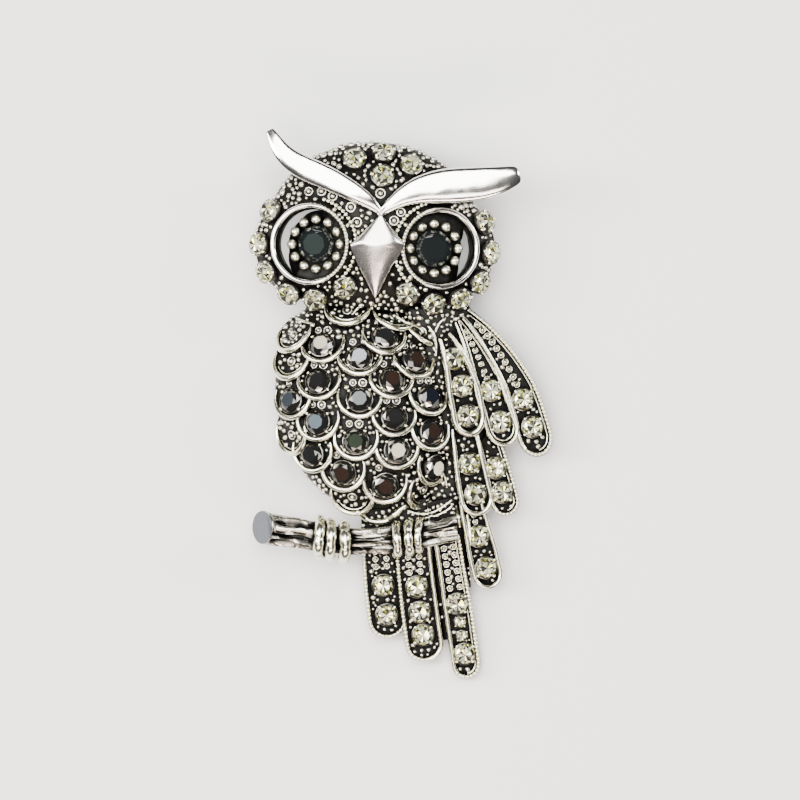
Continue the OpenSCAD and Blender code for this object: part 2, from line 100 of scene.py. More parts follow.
def domeTop(part, u, v):
    # a place on the dome and the direction that it faces
    s = u + part["lean"] * v
    rise = sqrt(1 - min(0.92, s * s + v * v))
    slope = Vector((s / part["width"], (s * part["lean"] + v) / part["height"], rise / part["dome"] / 2))
    return spotOn(part, u, v, part["back"] + part["dome"] * rise), slope.normalized()


def placeAt(origin, axis, up=Vector((0, 1, 0))):
    # a frame whose z runs along the axis and whose y points as near to up as it can
    z = axis.normalized()
    y = (up - up.dot(z) * z).normalized()
    return Matrix.Translation(origin) @ Matrix((y.cross(z), y, z)).transposed().to_4x4()


def turned(degrees, axis="Z"):
    return Matrix.Rotation(radians(degrees), 4, axis)


def shifted(x=0.0, y=0.0, z=0.0):
    return Matrix.Translation((x, y, z))


def onCircle(radius, degrees, z=0.0):
    angle = radians(degrees)
    return Vector((radius * cos(angle), radius * sin(angle), z))


def onlyVerts(geometry):
    return [part for part in geometry if isinstance(part, bmesh.types.BMVert)]


def edgesOf(verts):
    return list({edge for v in verts for edge in v.link_edges})


def faceOutwards(bm, gap=0.0):
    # merges what lies nearer than the gap first
    if gap:
        bmesh.ops.remove_doubles(bm, verts=bm.verts, dist=gap)
    bmesh.ops.recalc_face_normals(bm, faces=bm.faces)


def asTemplate(bm):
    mesh = bpy.data.meshes.new("template")
    bm.to_mesh(mesh)
    bm.free()
    return mesh


def stamp(bm, template, matrix):
    count = len(bm.verts)
    bm.from_mesh(template)
    bm.verts.ensure_lookup_table()
    bmesh.ops.transform(bm, matrix=matrix, verts=bm.verts[count:])


def spinProfile(bm, points, steps=32):
    # turns a closed profile of (radius, height) about the z axis
    ring = [bm.verts.new((r, 0, z)) for r, z in points]
    edges = [bm.edges.new((ring[i - 1], ring[i])) for i in range(len(ring))]
    bmesh.ops.spin(bm, geom=ring + edges, cent=(0, 0, 0), axis=(0, 0, 1), dvec=(0, 0, 0), angle=tau,
                   steps=steps, use_merge=True, use_duplicate=False)


def loft(bm, rings):
    # skins rings of places one after another and closes both ends
    previous = []
    for index, places in enumerate(rings):
        ring = bmesh.ops.create_circle(bm, segments=len(places), radius=1)["verts"]
        for v, place in zip(ring, places):
            v.co = place
        edges = edgesOf(ring)
        if previous:
            bmesh.ops.bridge_loops(bm, edges=previous + edges)
        previous = edges
        if index in (0, len(rings) - 1):
            bmesh.ops.contextual_create(bm, geom=ring)
    faceOutwards(bm)


def makeDrum(radius, low, high, segments, place):
    bm = bmesh.new()
    bmesh.ops.create_cone(bm, cap_ends=True, segments=segments, radius1=radius, radius2=radius,
                          depth=high - low, matrix=place @ shifted(z=(low + high) / 2))
    return bm


def domeShell(part):
    # hollow half egg, open at the back
    bm = bmesh.new()
    leaning = Matrix.Identity(4)
    leaning[0][1] = -part["lean"] * part["width"] / part["height"]
    for inset in (0, part["shell"]):
        half = bmesh.ops.create_uvsphere(bm, u_segments=64, v_segments=32, radius=1)["verts"]
        bmesh.ops.delete(bm, geom=[v for v in half if v.co.z < -1e-4], context="VERTS")
        half = [v for v in half if v.is_valid]
        sizes = part["width"] / 2 - inset, part["height"] / 2 - inset, part["dome"] - inset, 1
        place = shifted(*spotOn(part, 0, 0, part["back"])) @ leaning @ Matrix.Diagonal(sizes)
        bmesh.ops.transform(bm, matrix=place, verts=half)
        if inset:
            bmesh.ops.reverse_faces(bm, faces=list({f for v in half for f in v.link_faces}))
    bmesh.ops.bridge_loops(bm, edges=[e for e in bm.edges if e.is_boundary])
    faceOutwards(bm)
    return bm


def addObject(name, data):
    thing = bpy.data.objects.new(name, data)
    scene.collection.objects.link(thing)
    return thing


def makeObject(name, bm, materials, sharpAngle=40):
    bmesh.ops.scale(bm, vec=(mm, mm, mm), verts=bm.verts)
    mesh = bpy.data.meshes.new(name)
    bm.to_mesh(mesh)
    bm.free()
    for material in materials.split():
        mesh.materials.append(bpy.data.materials[material])
    if sharpAngle:
        mesh.shade_smooth()
        mesh.set_sharp_from_angle(angle=radians(sharpAngle))
    else:
        mesh.shade_flat()
    return addObject(name, mesh)


def finishPiece(name, bm, materials, sharpAngle=40, node="body_casting",
                cutters=(), smoothing=0):
    piece = makeObject(name, bm, materials, sharpAngle)
    holders = [makeObject("cutter", cutter, materials) for cutter in cutters]
    for holder in holders:
        cut = piece.modifiers.new("cut", "BOOLEAN")
        cut.operation = "DIFFERENCE"
        cut.solver = "EXACT"
        cut.object = holder
    if smoothing:
        smooth = piece.modifiers.new("smooth", "SUBSURF")
        smooth.levels = smooth.render_levels = smoothing
    if piece.modifiers:
        shaped = bpy.data.meshes.new_from_object(piece.evaluated_get(bpy.context.evaluated_depsgraph_get()))
        piece.modifiers.clear()
        piece.data = shaped
    for holder in holders:
        bpy.data.objects.remove(holder)
    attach(piece, "root")
    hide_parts(node)


def finishTubes(name, lines, material="brightSilver", node="body_casting", resolution=4):
    # each line is a list of (place, radius)
    curve = bpy.data.curves.new("tubes", "CURVE")
    curve.dimensions = "3D"
    curve.bevel_depth = 1
    curve.bevel_resolution = resolution
    curve.use_fill_caps = True
    for line in lines:
        spline = curve.splines.new("POLY")
        spline.points.add(len(line) - 1)
        for point, (place, radius) in zip(spline.points, line):
            point.co = (*place, 1)
            point.radius = radius
    holder = bpy.data.objects.new("tubes", curve)
    bm = bmesh.new()
    bm.from_mesh(bpy.data.meshes.new_from_object(holder))
    bpy.data.objects.remove(holder)
    finishPiece(name, bm, material, 60, node)


# Materials
agedInputs = {
    "Bright": (0.8, 0.785, 0.62, 1), "Black": (0.02, 0.02, 0.019, 1), "Reach": 0.0006, "Open From": 0.35,
    "Open To": 0.8, "Roughness": 0.2, "Black Roughness": 0.5, "Grain Size": 2500.0, "Grain Depth": 0.1,
    "Wave Size": 300.0, "Wave Depth": 0.1,
}


def setInputs(node, inputs):
    # an input takes a value or the output of another node
    for label, value in inputs.items():
        if isinstance(value, bpy.types.NodeSocket):
            node.id_data.links.new(value, node.inputs[label])
        else:
            node.inputs[label].default_value = value


def addNode(tree, kind, inputs, **settings):
    node = tree.nodes.new("ShaderNode" + kind)
    for name, value in settings.items():
        setattr(node, name, value)
    setInputs(node, inputs)
    return node.outputs


def addCloud(tree, scale, detail=2):
    place = addNode(tree, "TexCoord", {})["Object"]
    return addNode(tree, "TexNoise", {"Vector": place, "Scale": scale, "Detail": detail})["Fac"]


def makeAgedMetal():
    # blackened hollows, rubbed edges and the fine skin of a casting
    group = bpy.data.node_groups.new("agedMetal", "ShaderNodeTree")
    for label, value in agedInputs.items():
        kind = "NodeSocketColor" if isinstance(value, tuple) else "NodeSocketFloat"
        group.interface.new_socket(label, in_out="INPUT", socket_type=kind).default_value = value
    for label, kind in (("Color", "Color"), ("Roughness", "Float"), ("Normal", "Vector")):
        group.interface.new_socket(label, in_out="OUTPUT", socket_type="NodeSocket" + kind)
    given = group.nodes.new("NodeGroupInput").outputs
    hollow = addNode(group, "AmbientOcclusion", {"Distance": given["Reach"]}, samples=8)["AO"]
    stain = addCloud(group, 900, 3)
    spread = addNode(group, "Math", {0: stain, 1: 0.3, 2: -0.15}, operation="MULTIPLY_ADD")[0]
    total = addNode(group, "Math", {0: hollow, 1: spread}, operation="ADD")[0]
    span = {"Value": total, "From Min": given["Open From"], "From Max": given["Open To"]}
    openness = addNode(group, "MapRange", span, interpolation_type="SMOOTHSTEP")["Result"]
    tones = {"Factor": openness, 6: given["Black"], 7: given["Bright"]}
    colour = addNode(group, "Mix", tones, data_type="RGBA")[2]
    skins = {"Factor": openness, 2: given["Black Roughness"], 3: given["Roughness"]}
    rough = addNode(group, "Mix", skins)[0]
    rubbed = addNode(group, "Math", {0: stain, 1: 0.12, 2: rough}, operation="MULTIPLY_ADD")[0]
    bump = {}
    for relief, detail, height in (("Wave", 1, 0.0003), ("Grain", 2, 0.0001)):
        bump["Height"] = addCloud(group, given[relief + " Size"], detail)
        bump |= {"Strength": given[relief + " Depth"], "Distance": height}
        bump["Normal"] = addNode(group, "Bump", bump)["Normal"]
    outs = {"Color": colour, "Roughness": rubbed, "Normal": bump["Normal"]}
    setInputs(group.nodes.new("NodeGroupOutput"), outs)
    return group


agedMetal = makeAgedMetal()


def newMaterial(name):
    material = bpy.data.materials.new(name)
    material.use_nodes = True
    return material.node_tree, material.node_tree.nodes["Principled BSDF"]


def grey(level):
    return level, level, level, 1


def makeMetal(name, openFrom, openTo, roughness, grain, others):
    # a surface turns from black to bright between the two measures of openness
    tree, shader = newMaterial(name)
    values = {"Open From": openFrom, "Open To": openTo, "Roughness": roughness, "Grain Depth": grain}
    aged = addNode(tree, "Group", values | others, node_tree=agedMetal)
    setInputs(shader, {"Base Color": aged["Color"], "Roughness": aged["Roughness"], "Normal": aged["Normal"],
                       "Metallic": 1})


def makeMirrorStone(name, colour, roughness=0.04, metallic=0.85, coat=0.6):
    # dark cut glass with a mirror coat, a little uneven from facet to facet
    tree, shader = newMaterial(name)
    darker, lighter = ((*[min(1, c * gain) for c in colour], 1) for gain in (0.8, 1.2))
    tint = addNode(tree, "Mix", {"Factor": addCloud(tree, 260), 6: darker, 7: lighter}, data_type="RGBA")[2]
    setInputs(shader, {"Base Color": tint, "Metallic": metallic, "Roughness": roughness, "Coat Weight": coat,
                       "Coat Roughness": 0.02})


# openness from and to, roughness and grain depth, then what else differs from the group
metals = {
    "brightSilver": (0.3, 0.66, 0.15, 0.15, {"Black": grey(0.006)}),
    "darkSilver": (0.5, 1, 0.4, 0.6, {"Bright": (0.012, 0.012, 0.011, 1), "Black": grey(0.003)}),
    "cupSilver": (0.45, 0.85, 0.22, 0.3, {"Bright": (0.2, 0.19, 0.17, 1), "Black": grey(0.006)}),
    "beadSilver": (0.28, 0.58, 0.14, 0.05, {"Black": grey(0.008), "Reach": 0.00035}),
    "granuleSilver": (0.35, 0.75, 0.2, 0.05, {"Bright": (0.64, 0.62, 0.52, 1), "Black": grey(0.006),
                                              "Reach": 0.00035}),
    "pearlSilver": (0.1, 0.4, 0.24, 0.02, {"Black": grey(0.01), "Wave Depth": 0}),
    "polishedSilver": (0.12, 0.4, 0.07, 0.02, {"Bright": (0.86, 0.84, 0.8, 1), "Wave Depth": 0.4}),
    # a dimmer, rougher copy of polishedSilver for the beak: its dimmer colour is painted shade
    "beakSilver": (0.12, 0.4, 0.2, 0.02, {"Bright": (0.72, 0.69, 0.66, 1), "Wave Depth": 0.4}),
    "barkSilver": (0.7, 1, 0.16, 0.3, {"Bright": (0.44, 0.42, 0.36, 1), "Black": grey(0.004),
                                         "Reach": 0.0009}),
    "cutSilver": (0.2, 0.6, 0.35, 0.5, {"Bright": (0.13, 0.14, 0.16, 1)}),
    "backSilver": (0.45, 1.12, 0.3, 0.35, {"Bright": (0.4, 0.39, 0.35, 1), "Reach": 0.002}),
    "pinSteel": (0.2, 0.5, 0.14, 0.04, {"Bright": (0.75, 0.75, 0.74, 1)}),
}
# colour, then roughness, metallic and coat where they differ; the tables' colours are painted reflections of
# what each table mirrors, over a real mirror coat
mirrorStones = {
    # painted sparkle of the clear stones: painted highlight, painted gold glint, painted shade, and the dark
    # of the joints and of the darkest petals
    "crystalBright": ((0.93, 0.97, 0.56), 0.1, 0.6, 0.3),
    "crystalGold": ((0.7, 0.68, 0.1), 0.08, 0.75, 0.1),
    "crystalShade": ((0.16, 0.17, 0.13), 0.08, 0.8, 0.1),
    "crystalDark": ((0.04, 0.04, 0.03), 0.1, 0.6),
    "jet": ((0.01, 0.0125, 0.0135), 0.04, 0.4, 0.2),
    "jetTable": ((0.0045, 0.006, 0.0056), 0.04, 1, 0),
    "hematite": ((0.04, 0.04, 0.037), 0.04, 0.85, 0.3),
    # painted highlight: one kite of each belly stone is coloured as if it caught the light
    "glint": ((0.9, 0.88, 0.76), 0.28),
    "tableCream": ((0.62, 0.58, 0.44), 0.1, 0.35, 0.3),
    "tablePale": ((0.036, 0.04, 0.04), 0.04, 1, 0),
    "tableMist": ((0.42, 0.45, 0.49), 0.1, 0.35, 0.3),
    "tableBlue": ((0.14, 0.17, 0.2),),
    "tableSlate": ((0.012, 0.015, 0.018), 0.04, 1, 0),
    "tableGreen": ((0.005, 0.0066, 0.0045), 0.04, 1, 0),
    "tableDark": ((0.05, 0.05, 0.052),),
    "tableBrown": ((0.09, 0.055, 0.042), 0.04, 0.85, 0.3),
    "tableNavy": ((0.03, 0.035, 0.06),),
}
for name, values in metals.items():
    makeMetal(name, *values)
for name, values in mirrorStones.items():
    makeMirrorStone(name, *values)
print("materials")


# Cut stones, each on the seat of its solid
stoneCut = {
    "table": 0.3, "tableRise": 0.22, "middle": 0.42, "girdle": 0.02, "depth": 0.42, "base": 0.15,
    "turn": 13,
    # radius, height of the even and of the odd corners; the petals' colours are painted sparkle: mostly a
    # painted highlight, some a painted gold glint, painted shade or painted dark
    "starRows": [(0.3, 0.225, 0.195), (0.43, 0.115, 0.14), (0.5, 0.03, 0.03), (0.5, -0.02, -0.02)],
    "starMiddle": 0.19, "joint": 0.019, "starPaintedSparkle": [0, 0, 0, 0, 0, 1, 2, 2, 3, 3],
}


def stoneSeats(node):
    # (middle of the girdle, axis, diameter) of each stone in a solid
    bm = bmesh.new()
    bm.from_mesh(frame["nodes"][node].data)
    bmesh.ops.remove_doubles(bm, verts=bm.verts, dist=1e-7)
    bmesh.ops.dissolve_limit(bm, angle_limit=radians(1), verts=bm.verts, edges=bm.edges)
    seats = []
    for back in bm.faces:
        if back.normal.z < 0 and len(back.verts) > 4:  # all the others are facets
            axis = -back.normal.copy()
            middle = back.calc_center_median() / mm
            diameter = 2 * max((v.co / mm - middle).length for v in back.verts)
            seats.append((middle + axis * diameter * stoneCut["base"], axis, diameter))
    bm.free()
    return sorted(seats, key=lambda seat: (-seat[0].y, seat[0].x))


def makeDarkTemplate():
    # octagon table, eight kites and their triangles over a pointed back, one unit across
    bm = bmesh.new()
    table, rise, girdle = stoneCut["table"], stoneCut["tableRise"], stoneCut["girdle"]
    share = (stoneCut["middle"] * cos(radians(22.5)) - table) / (0.5 - table)
    rings = [
        (8, table, 22.5, rise),
        (8, stoneCut["middle"], 0, mix(rise, girdle, share) + 0.004),
        (16, 0.5, 0, girdle),
        (16, 0.5, 0, -girdle),
        (8, 0.1, 22.5, -stoneCut["depth"]),
    ]
    for count, radius, turn, z in rings:
        bmesh.ops.create_circle(bm, segments=count, radius=radius, matrix=shifted(z=z) @ turned(turn))
    bmesh.ops.convex_hull(bm, input=bm.verts)
    bmesh.ops.dissolve_limit(bm, angle_limit=radians(2), verts=bm.verts, edges=bm.edges)
    faceOutwards(bm)
    for face in bm.faces:
        face.material_index = 0 if face.normal.z > 0.99 else 1
    kites = sorted((f for f in bm.faces if 0.3 < f.normal.z < 0.99), key=lambda f: -f.calc_area())[:8]
    # this kite carries the painted highlight
    max(kites, key=lambda f: f.normal.x).material_index = 2
    return asTemplate(bm)


def makeStarTemplate():
    # sixteen petals round the middle of a clear stone, then two rows of facets, with dark joints; the seen
    # facets get painted highlights, gold glints, shade or dark at random in place of the glass's sparkle
    bm = bmesh.new()
    rows = []
    for radius, high, low in stoneCut["starRows"]:
        rows.append([bm.verts.new(onCircle(radius, 22.5 * k, low if k % 2 else high)) for k in range(16)])
    top, bottom = bm.verts.new((0, 0, stoneCut["starMiddle"])), bm.verts.new((0, 0, -stoneCut["depth"]))
    for k in range(16):
        m = (k + 1) % 16
        bm.faces.new((top, rows[0][k], rows[0][m]))
        for upper, lower in zip(rows, rows[1:]):
            cut = (upper[k], lower[k], lower[m]), (upper[k], lower[m], upper[m])
            turn = (upper[k], lower[k], upper[m]), (upper[m], lower[k], lower[m])
            for corners in turn if k % 2 else cut:
                bm.faces.new(corners)
        bm.faces.new((rows[-1][k], bottom, rows[-1][m]))
    faceOutwards(bm)
    seen = [face for face in bm.faces if face.calc_center_median().z > stoneCut["girdle"]]
    for face in bm.faces:
        face.material_index = random.choice(stoneCut["starPaintedSparkle"]) if face in seen else 3
    for face in bmesh.ops.inset_individual(bm, faces=seen, thickness=stoneCut["joint"])["faces"]:
        face.material_index = 3
    return asTemplate(bm)


darkTemplate = makeDarkTemplate()
starTemplates = [makeStarTemplate() for _ in range(5)]


def makeStones(node, materials, slot, twist=0.0):
    bm = bmesh.new()
    seats = stoneSeats(node)
    for index, (origin, axis, diameter) in enumerate(seats):
        template = starTemplates[(index + round(twist)) % 5] if slot == "clear_stone" else darkTemplate
        turn = turned(twist + stoneCut["turn"] * index)
        stamp(bm, template, placeAt(origin, axis) @ turn @ Matrix.Scale(diameter, 4))
    first, *rest = node.split("_")
    finishPiece(first + "".join(word.capitalize() for word in rest), bm, materials, 0, node)
    return seats


# painted reflection on each belly stone's table and the way to its facet with the painted highlight, in
# degrees
bellyPaintedReflections = [
    ("Dark", 260), ("Cream", 300), ("Mist", 190), ("Brown", 260), ("Dark", 285), ("Brown", 250),
    ("Blue", 10), ("Pale", 30), ("Navy", 240), ("Slate", 150), ("Dark", 175), ("Green", 100),
    ("Brown", 200), ("Dark", 350), ("Cream", 135), ("Brown", 130), ("Cream", 170), ("Brown", 150),
]
crystals = "crystalBright crystalGold crystalShade crystalDark"
bellySeats, crownSeats, cheekSeats = [], [], {"left": [], "right": []}
for i, (reflection, paintedGlintTurn) in enumerate(bellyPaintedReflections, 1):
    bellySeats += makeStones(f"belly_stone_{i}", f"table{reflection} hematite glint", "dark_stone", paintedGlintTurn - 22.5)
for i in range(1, 5):
    crownSeats += makeStones(f"crown_stone_{i}", crystals, "clear_stone", 17 * i)
for i in range(1, 7):
    for side, seats in cheekSeats.items():
        seats += makeStones(f"cheek_stone_{side}_{i}", crystals, "clear_stone", 19 * i)
wingSeats = makeStones("wing_stones", crystals, "clear_stone")
tailSeats = makeStones("tail_stones", crystals, "clear_stone", 7)
makeStones("eye_stone_left", "jetTable jet jet", "black_stone", 10)
makeStones("eye_stone_right", "jet jet jet", "black_stone", 4)
print("cut stones")


# Beads and cups that the settings share
cup = {"wall": 0.13, "belly": 2.8, "bellyDepth": 0.9, "clear": 2.4, "clearDepth": 0.75}


def makeRoundTemplate(create, **steps):
    bm = bmesh.new()
    create(bm, radius=1, **steps)
    return asTemplate(bm)


def makeRingBeadTemplate():
    # a small ring round a knob
    bm = bmesh.new()
    section = [onCircle(0.18, 30 + 60 * k) for k in range(6)]
    spinProfile(bm, [(0.82 + corner.x, corner.y) for corner in section], 12)
    bmesh.ops.create_uvsphere(bm, u_segments=8, v_segments=5, radius=0.48)
    faceOutwards(bm)
    return asTemplate(bm)


def makeCupTemplate(diameter, depth):
    bm = bmesh.new()
    r, wall = diameter / 2, cup["wall"]
    spinProfile(bm, [
        (r + 0.01, -0.12), (r + 0.02, 0.03), (r + wall * 0.35, 0.09), (r + wall * 0.8, 0.06),
        (r + wall, -0.05), (r + wall * 1.2, -depth), (r * 0.7, -depth), (r * 0.75, -depth * 0.6),
    ], 24)
    faceOutwards(bm)
    return asTemplate(bm)


beadTemplate = makeRoundTemplate(bmesh.ops.create_icosphere, subdivisions=2)
granuleTemplate = makeRoundTemplate(bmesh.ops.create_uvsphere, u_segments=8, v_segments=5)
ringBeadTemplate = makeRingBeadTemplate()
bellyCup = makeCupTemplate(cup["belly"], cup["bellyDepth"])
clearCup = makeCupTemplate(cup["clear"], cup["clearDepth"])


def addBeads(bm, place, reach, radius, angles, lift=0.05):
    # a row of beads round a place
    for angle in angles:
        at = shifted(*onCircle(reach, angle, lift))
        stamp(bm, beadTemplate, place @ at @ Matrix.Scale(radius, 4))


# Belly
belly = {
    "plainScales": [
        (-0.18, 0.79), (-0.8, 0.56), (-0.82, 0.33), (-0.81, -0.33), (0.68, -0.82), (-0.12, -0.88),
        (0.36, 0.74), (0.69, 0.6),
    ],
    "scale": 5.5, "tilt": 13, "scaleUp": 0.5225, "stoneLift": 0.392, "rim": 0.31, "span": 108, "thin": 0.25,
    "root": 1, "lineAt": 1.98, "line": 0.09, "lineSpan": 62, "prongAt": 1.56, "prong": 0.2,
}


def scalePlaces():
    # a frame for each scale, at the height of its floor, and whether a stone sits on it
    places = []
    for origin, axis, _ in bellySeats:
        places.append((placeAt(origin - axis * belly["stoneLift"], axis), True))
    for u, v in belly["plainScales"]:
        places.append((placeAt(*domeTop(body, u, v)) @ turned(-belly["tilt"], "X"), False))
    return places


def arcLine(place, radius, thickness, span, lift):
    # below the middle of a scale, and thin at both ends
    line = []
    for k in range(23):
        share = k / 11 - 1
        at = onCircle(radius, -90 + span * share, lift) + Vector((0, belly["scaleUp"], 0))
        line.append((place @ at, thickness * mix(1, belly["thin"], abs(share) ** 3)))
    return line


def makeScales():
    floors, beads, cups = (bmesh.new() for _ in range(3))
    rimLines, fineLines = [], []
    half = belly["scale"] / 2
    for index, (place, withStone) in enumerate(scalePlaces()):
        under = shifted(0, belly["scaleUp"], -belly["root"] / 2)
        bmesh.ops.create_cone(floors, cap_ends=True, segments=40, radius1=half * 0.9, radius2=half * 0.985,
                              depth=belly["root"], matrix=place @ under)
        rimLines.append(arcLine(place, half - belly["rim"], belly["rim"], belly["span"], 0.12))
        if not withStone or index % 3 != 1:
            reach = belly["lineAt"] - (0 if withStone else 0.1)
            fineLines.append(arcLine(place, reach, belly["line"], belly["lineSpan"], 0.09))
        if withStone:
            stone = place @ shifted(z=belly["stoneLift"])
            stamp(cups, bellyCup, stone)
            angles = (38 + 5 * (index % 3), 142, 218, 322 - 4 * (index % 2))
            addBeads(beads, stone, belly["prongAt"], belly["prong"], angles)
    finishPiece("bellyScales", floors, "darkSilver")
    finishTubes("bellyRims", rimLines)
    finishTubes("bellyFineLines", fineLines, resolution=1)
    finishPiece("bellyCups", cups, "cupSilver")
    finishPiece("bellyBeads", beads, "beadSilver", 80)


finishPiece("bellyDome", domeShell(body), "darkSilver")
makeScales()
print("belly")


# Feathers, each row with its root, bow and end in shares of half the body, widths and undersides at root
# and end in shares of the full width and of the wing's lift, kind and radius of rim, and ring beads: first
# and last share of the run, columns, radius and spacing
feather = {"width": 4.0, "thick": 1.4, "floor": 0.9, "bead": 0.46, "prong": 0.19}
wing = {
    "name": "wing", "roll": 0.22, "rimFrom": 0, "seats": wingSeats, "rows": [
        ((1.16, 0.78), (1.77, 0.37), (2.02, -0.51), 0.34, 1, 0.75, 0.47,
         "outer", 0.24, (0.12, 0.6, 1, 0.4, 0.95)),
        ((1.09, 0.71), (1.42, 0.31), (1.64, -0.42), 0.35, 0.97, 0.87, 0.62,
         "double", 0.22, (0.12, 0.54, 1, 0.34, 0.9)),
        ((0.92, 0.57), (1.15, 0.27), (1.23, -0.34), 0.48, 1, 1, 0.77,
         "smooth", 0.36, None),
        ((1.39, -0.27), (1.53, -0.62), (1.66, -1.04), 0.7, 0.82, 0.6, 0.45,
         "outer", 0.22, None),
        ((1.15, -0.25), (1.22, -0.62), (1.33, -1.04), 0.8, 0.97, 0.7, 0.57,
         "smooth", 0.28, None),
        ((1.21, -0.88), (1.33, -1.25), (1.46, -1.7), 0.68, 0.88, 0.58, 0.37,
         "smooth", 0.26, (0.12, 0.36, 1, 0.34, 0.85)),
    ],
}
tail = {
    "name": "tail", "roll": 0.06, "rimFrom": 0.2, "seats": tailSeats, "rows": [
        ((0.18, -0.9), (0.18, -1.56), (0.31, -2.14), 1, 1.1, 0.58, 0.2,
         "tip", 0.24, (0.3, 0.5, 2, 0.36, 0.85)),
        ((0.52, -0.9), (0.59, -1.7), (0.73, -2.35), 1, 1.08, 0.63, 0.15,
         "inner", 0.25, (0.28, 0.44, 2, 0.36, 0.85)),
        ((0.88, -0.9), (1.06, -1.7), (1.2, -2.51), 0.75, 0.84, 0.68, 0,
         "outer", 0.26, (0.22, 0.5, 2, 0.38, 0.92)),
    ],
}


class Feather:
    # s is the share of the run from the root to the tip
    def __init__(self, group, row):
        self.group = group
        self.path = [spotOn(body, u, v) for u, v in row[:3]]
        self.widths, self.lifts = row[3:5], row[5:7]
        self.style, self.rim, self.beads = row[7:]
        self.run = (self.path[2] - self.path[0]).length

    def half(self, s):
        return feather["width"] / 2 * mix(*self.widths, clamp(s * 1.6))

    def point(self, s, offset, lift):
        a, b, c = self.path
        along = mix(b - a, c - b, s).normalized()
        p = mix(mix(a, b, s), mix(b, c, s), s) + Vector((-along.y, along.x, 0)) * offset
        p.z = wingLift * mix(*self.lifts, s) + lift - self.group["roll"] * offset
        return p

    def frame(self, s, offset, lift):
        here = self.point(s, offset, lift)
        ahead = self.point(s + 0.02, offset, lift) - here
        axis = ahead.cross(self.point(s, offset + 0.1, lift) - here)
        return placeAt(here, axis if axis.z > 0 else -axis, -ahead)

    def stations(self, inset, start=0.0):
        # (share of the run, share of the width) down to the end of the round tip
        tip = 1 - inset / self.run
        turn = tip - (feather["width"] / 2 * self.widths[1] - inset) / self.run
        straight = [(mix(start, turn, i / 16), 1) for i in range(16)]
        angles = [radians(89 * i / 8) for i in range(9)]
        return straight + [(mix(turn, tip, sin(angle)), cos(angle)) for angle in angles]

    def rimLine(self, inset, radius, lift, rightOnly=False):
        left, right = [], []
        for s, width in self.stations(inset, self.group["rimFrom"]):
            offset = width * (self.half(s) - inset)
            thick = radius * mix(0.55, 1, min(1, s * 4))
            left.append((self.point(s, -offset, lift), thick))
            right.append((self.point(s, offset, lift), thick))
        return right if rightOnly else left + right[::-1]

    def addFloor(self, bm):
        rows = self.stations(0.02)
        grid = bmesh.ops.create_grid(bm, x_segments=len(rows) - 1, y_segments=8, size=1)["verts"]
        for v in grid:
            s, width = rows[round((v.co.x + 1) / 2 * (len(rows) - 1))]
            across = v.co.y
            dip = -0.08 * (1 - across * across)
            v.co = self.point(s, across * width * self.half(s), feather["floor"] + dip)
        faces = list({face for v in grid for face in v.link_faces})
        lower = onlyVerts(bmesh.ops.extrude_face_region(bm, geom=faces)["geom"])
        bmesh.ops.translate(bm, vec=(0, 0, -feather["floor"]), verts=lower)


def alongLine(line, spacing):
    # places every so far along a line, with the radius there
    spots, left = [], 0.0
    for (a, ra), (b, rb) in zip(line, line[1:]):
        length = (b - a).length
        while left < length:
            spots.append((a + (b - a) * left / length, mix(ra, rb, left / length)))
            left += spacing
        left -= length
    return spots


def makeFeathers(group):
    floors, beads, cups = (bmesh.new() for _ in range(3))
    lines = []
    floor = feather["floor"]
    for row in group["rows"]:
        f = Feather(group, row)
        f.addFloor(floors)
        edge = f.rimLine(f.rim, f.rim, feather["thick"] - f.rim)
        if f.style in ("smooth", "double"):
            lines.append(edge)
        else:  # a low line under a row of beads, then the smooth rest
            cut = len(edge) // 2
            beaded = {"outer": (cut - 6, len(edge)), "inner": (0, cut + 2), "tip": (0, cut + 14)}
            first, last = beaded[f.style]
            lines.append([(p - Vector((0, 0, 0.06)), r * 0.78) for p, r in edge[first:last]])
            lines.append(edge[:first + 1] if first else edge[last - 1:])
            for p, r in alongLine(edge[first:last], feather["bead"]):
                addBeads(beads, shifted(*p), 0, r * 0.98, [0], 0.04)
        if f.style == "double":
            lines.append(f.rimLine(f.rim + 0.42, 0.1, floor + 0.12))
        if f.style == "outer":
            lines.append(f.rimLine(f.rim + 0.4, 0.09, floor + 0.1, rightOnly=True))
        if f.beads:
            s, end, columns, size, spacing = f.beads
            while s < end:
                gap = min(1.25, f.half(s) - f.rim * 2)
                for across in [0] if columns == 1 else [-gap / 2, gap / 2]:
                    stamp(beads, ringBeadTemplate, f.frame(s, across, floor + 0.05) @ Matrix.Scale(size, 4))
                s += spacing / f.run
    for origin, axis, diameter in group["seats"]:
        place = placeAt(origin, axis)
        share = diameter / cup["clear"]
        stamp(cups, clearCup, place @ Matrix.Scale(share, 4))
        addBeads(beads, place, diameter / 2 + 0.06, feather["prong"] * share, (45, 135, 225, 315))
    faceOutwards(floors, 0.004)
    name = group["name"]
    finishPiece(name + "Floors", floors, "darkSilver")
    finishTubes(name + "Rims", lines)
    finishPiece(name + "Cups", cups, "cupSilver")
    finishPiece(name + "Beads", beads, "beadSilver", 80)


makeFeathers(wing)
makeFeathers(tail)
print("feathers")


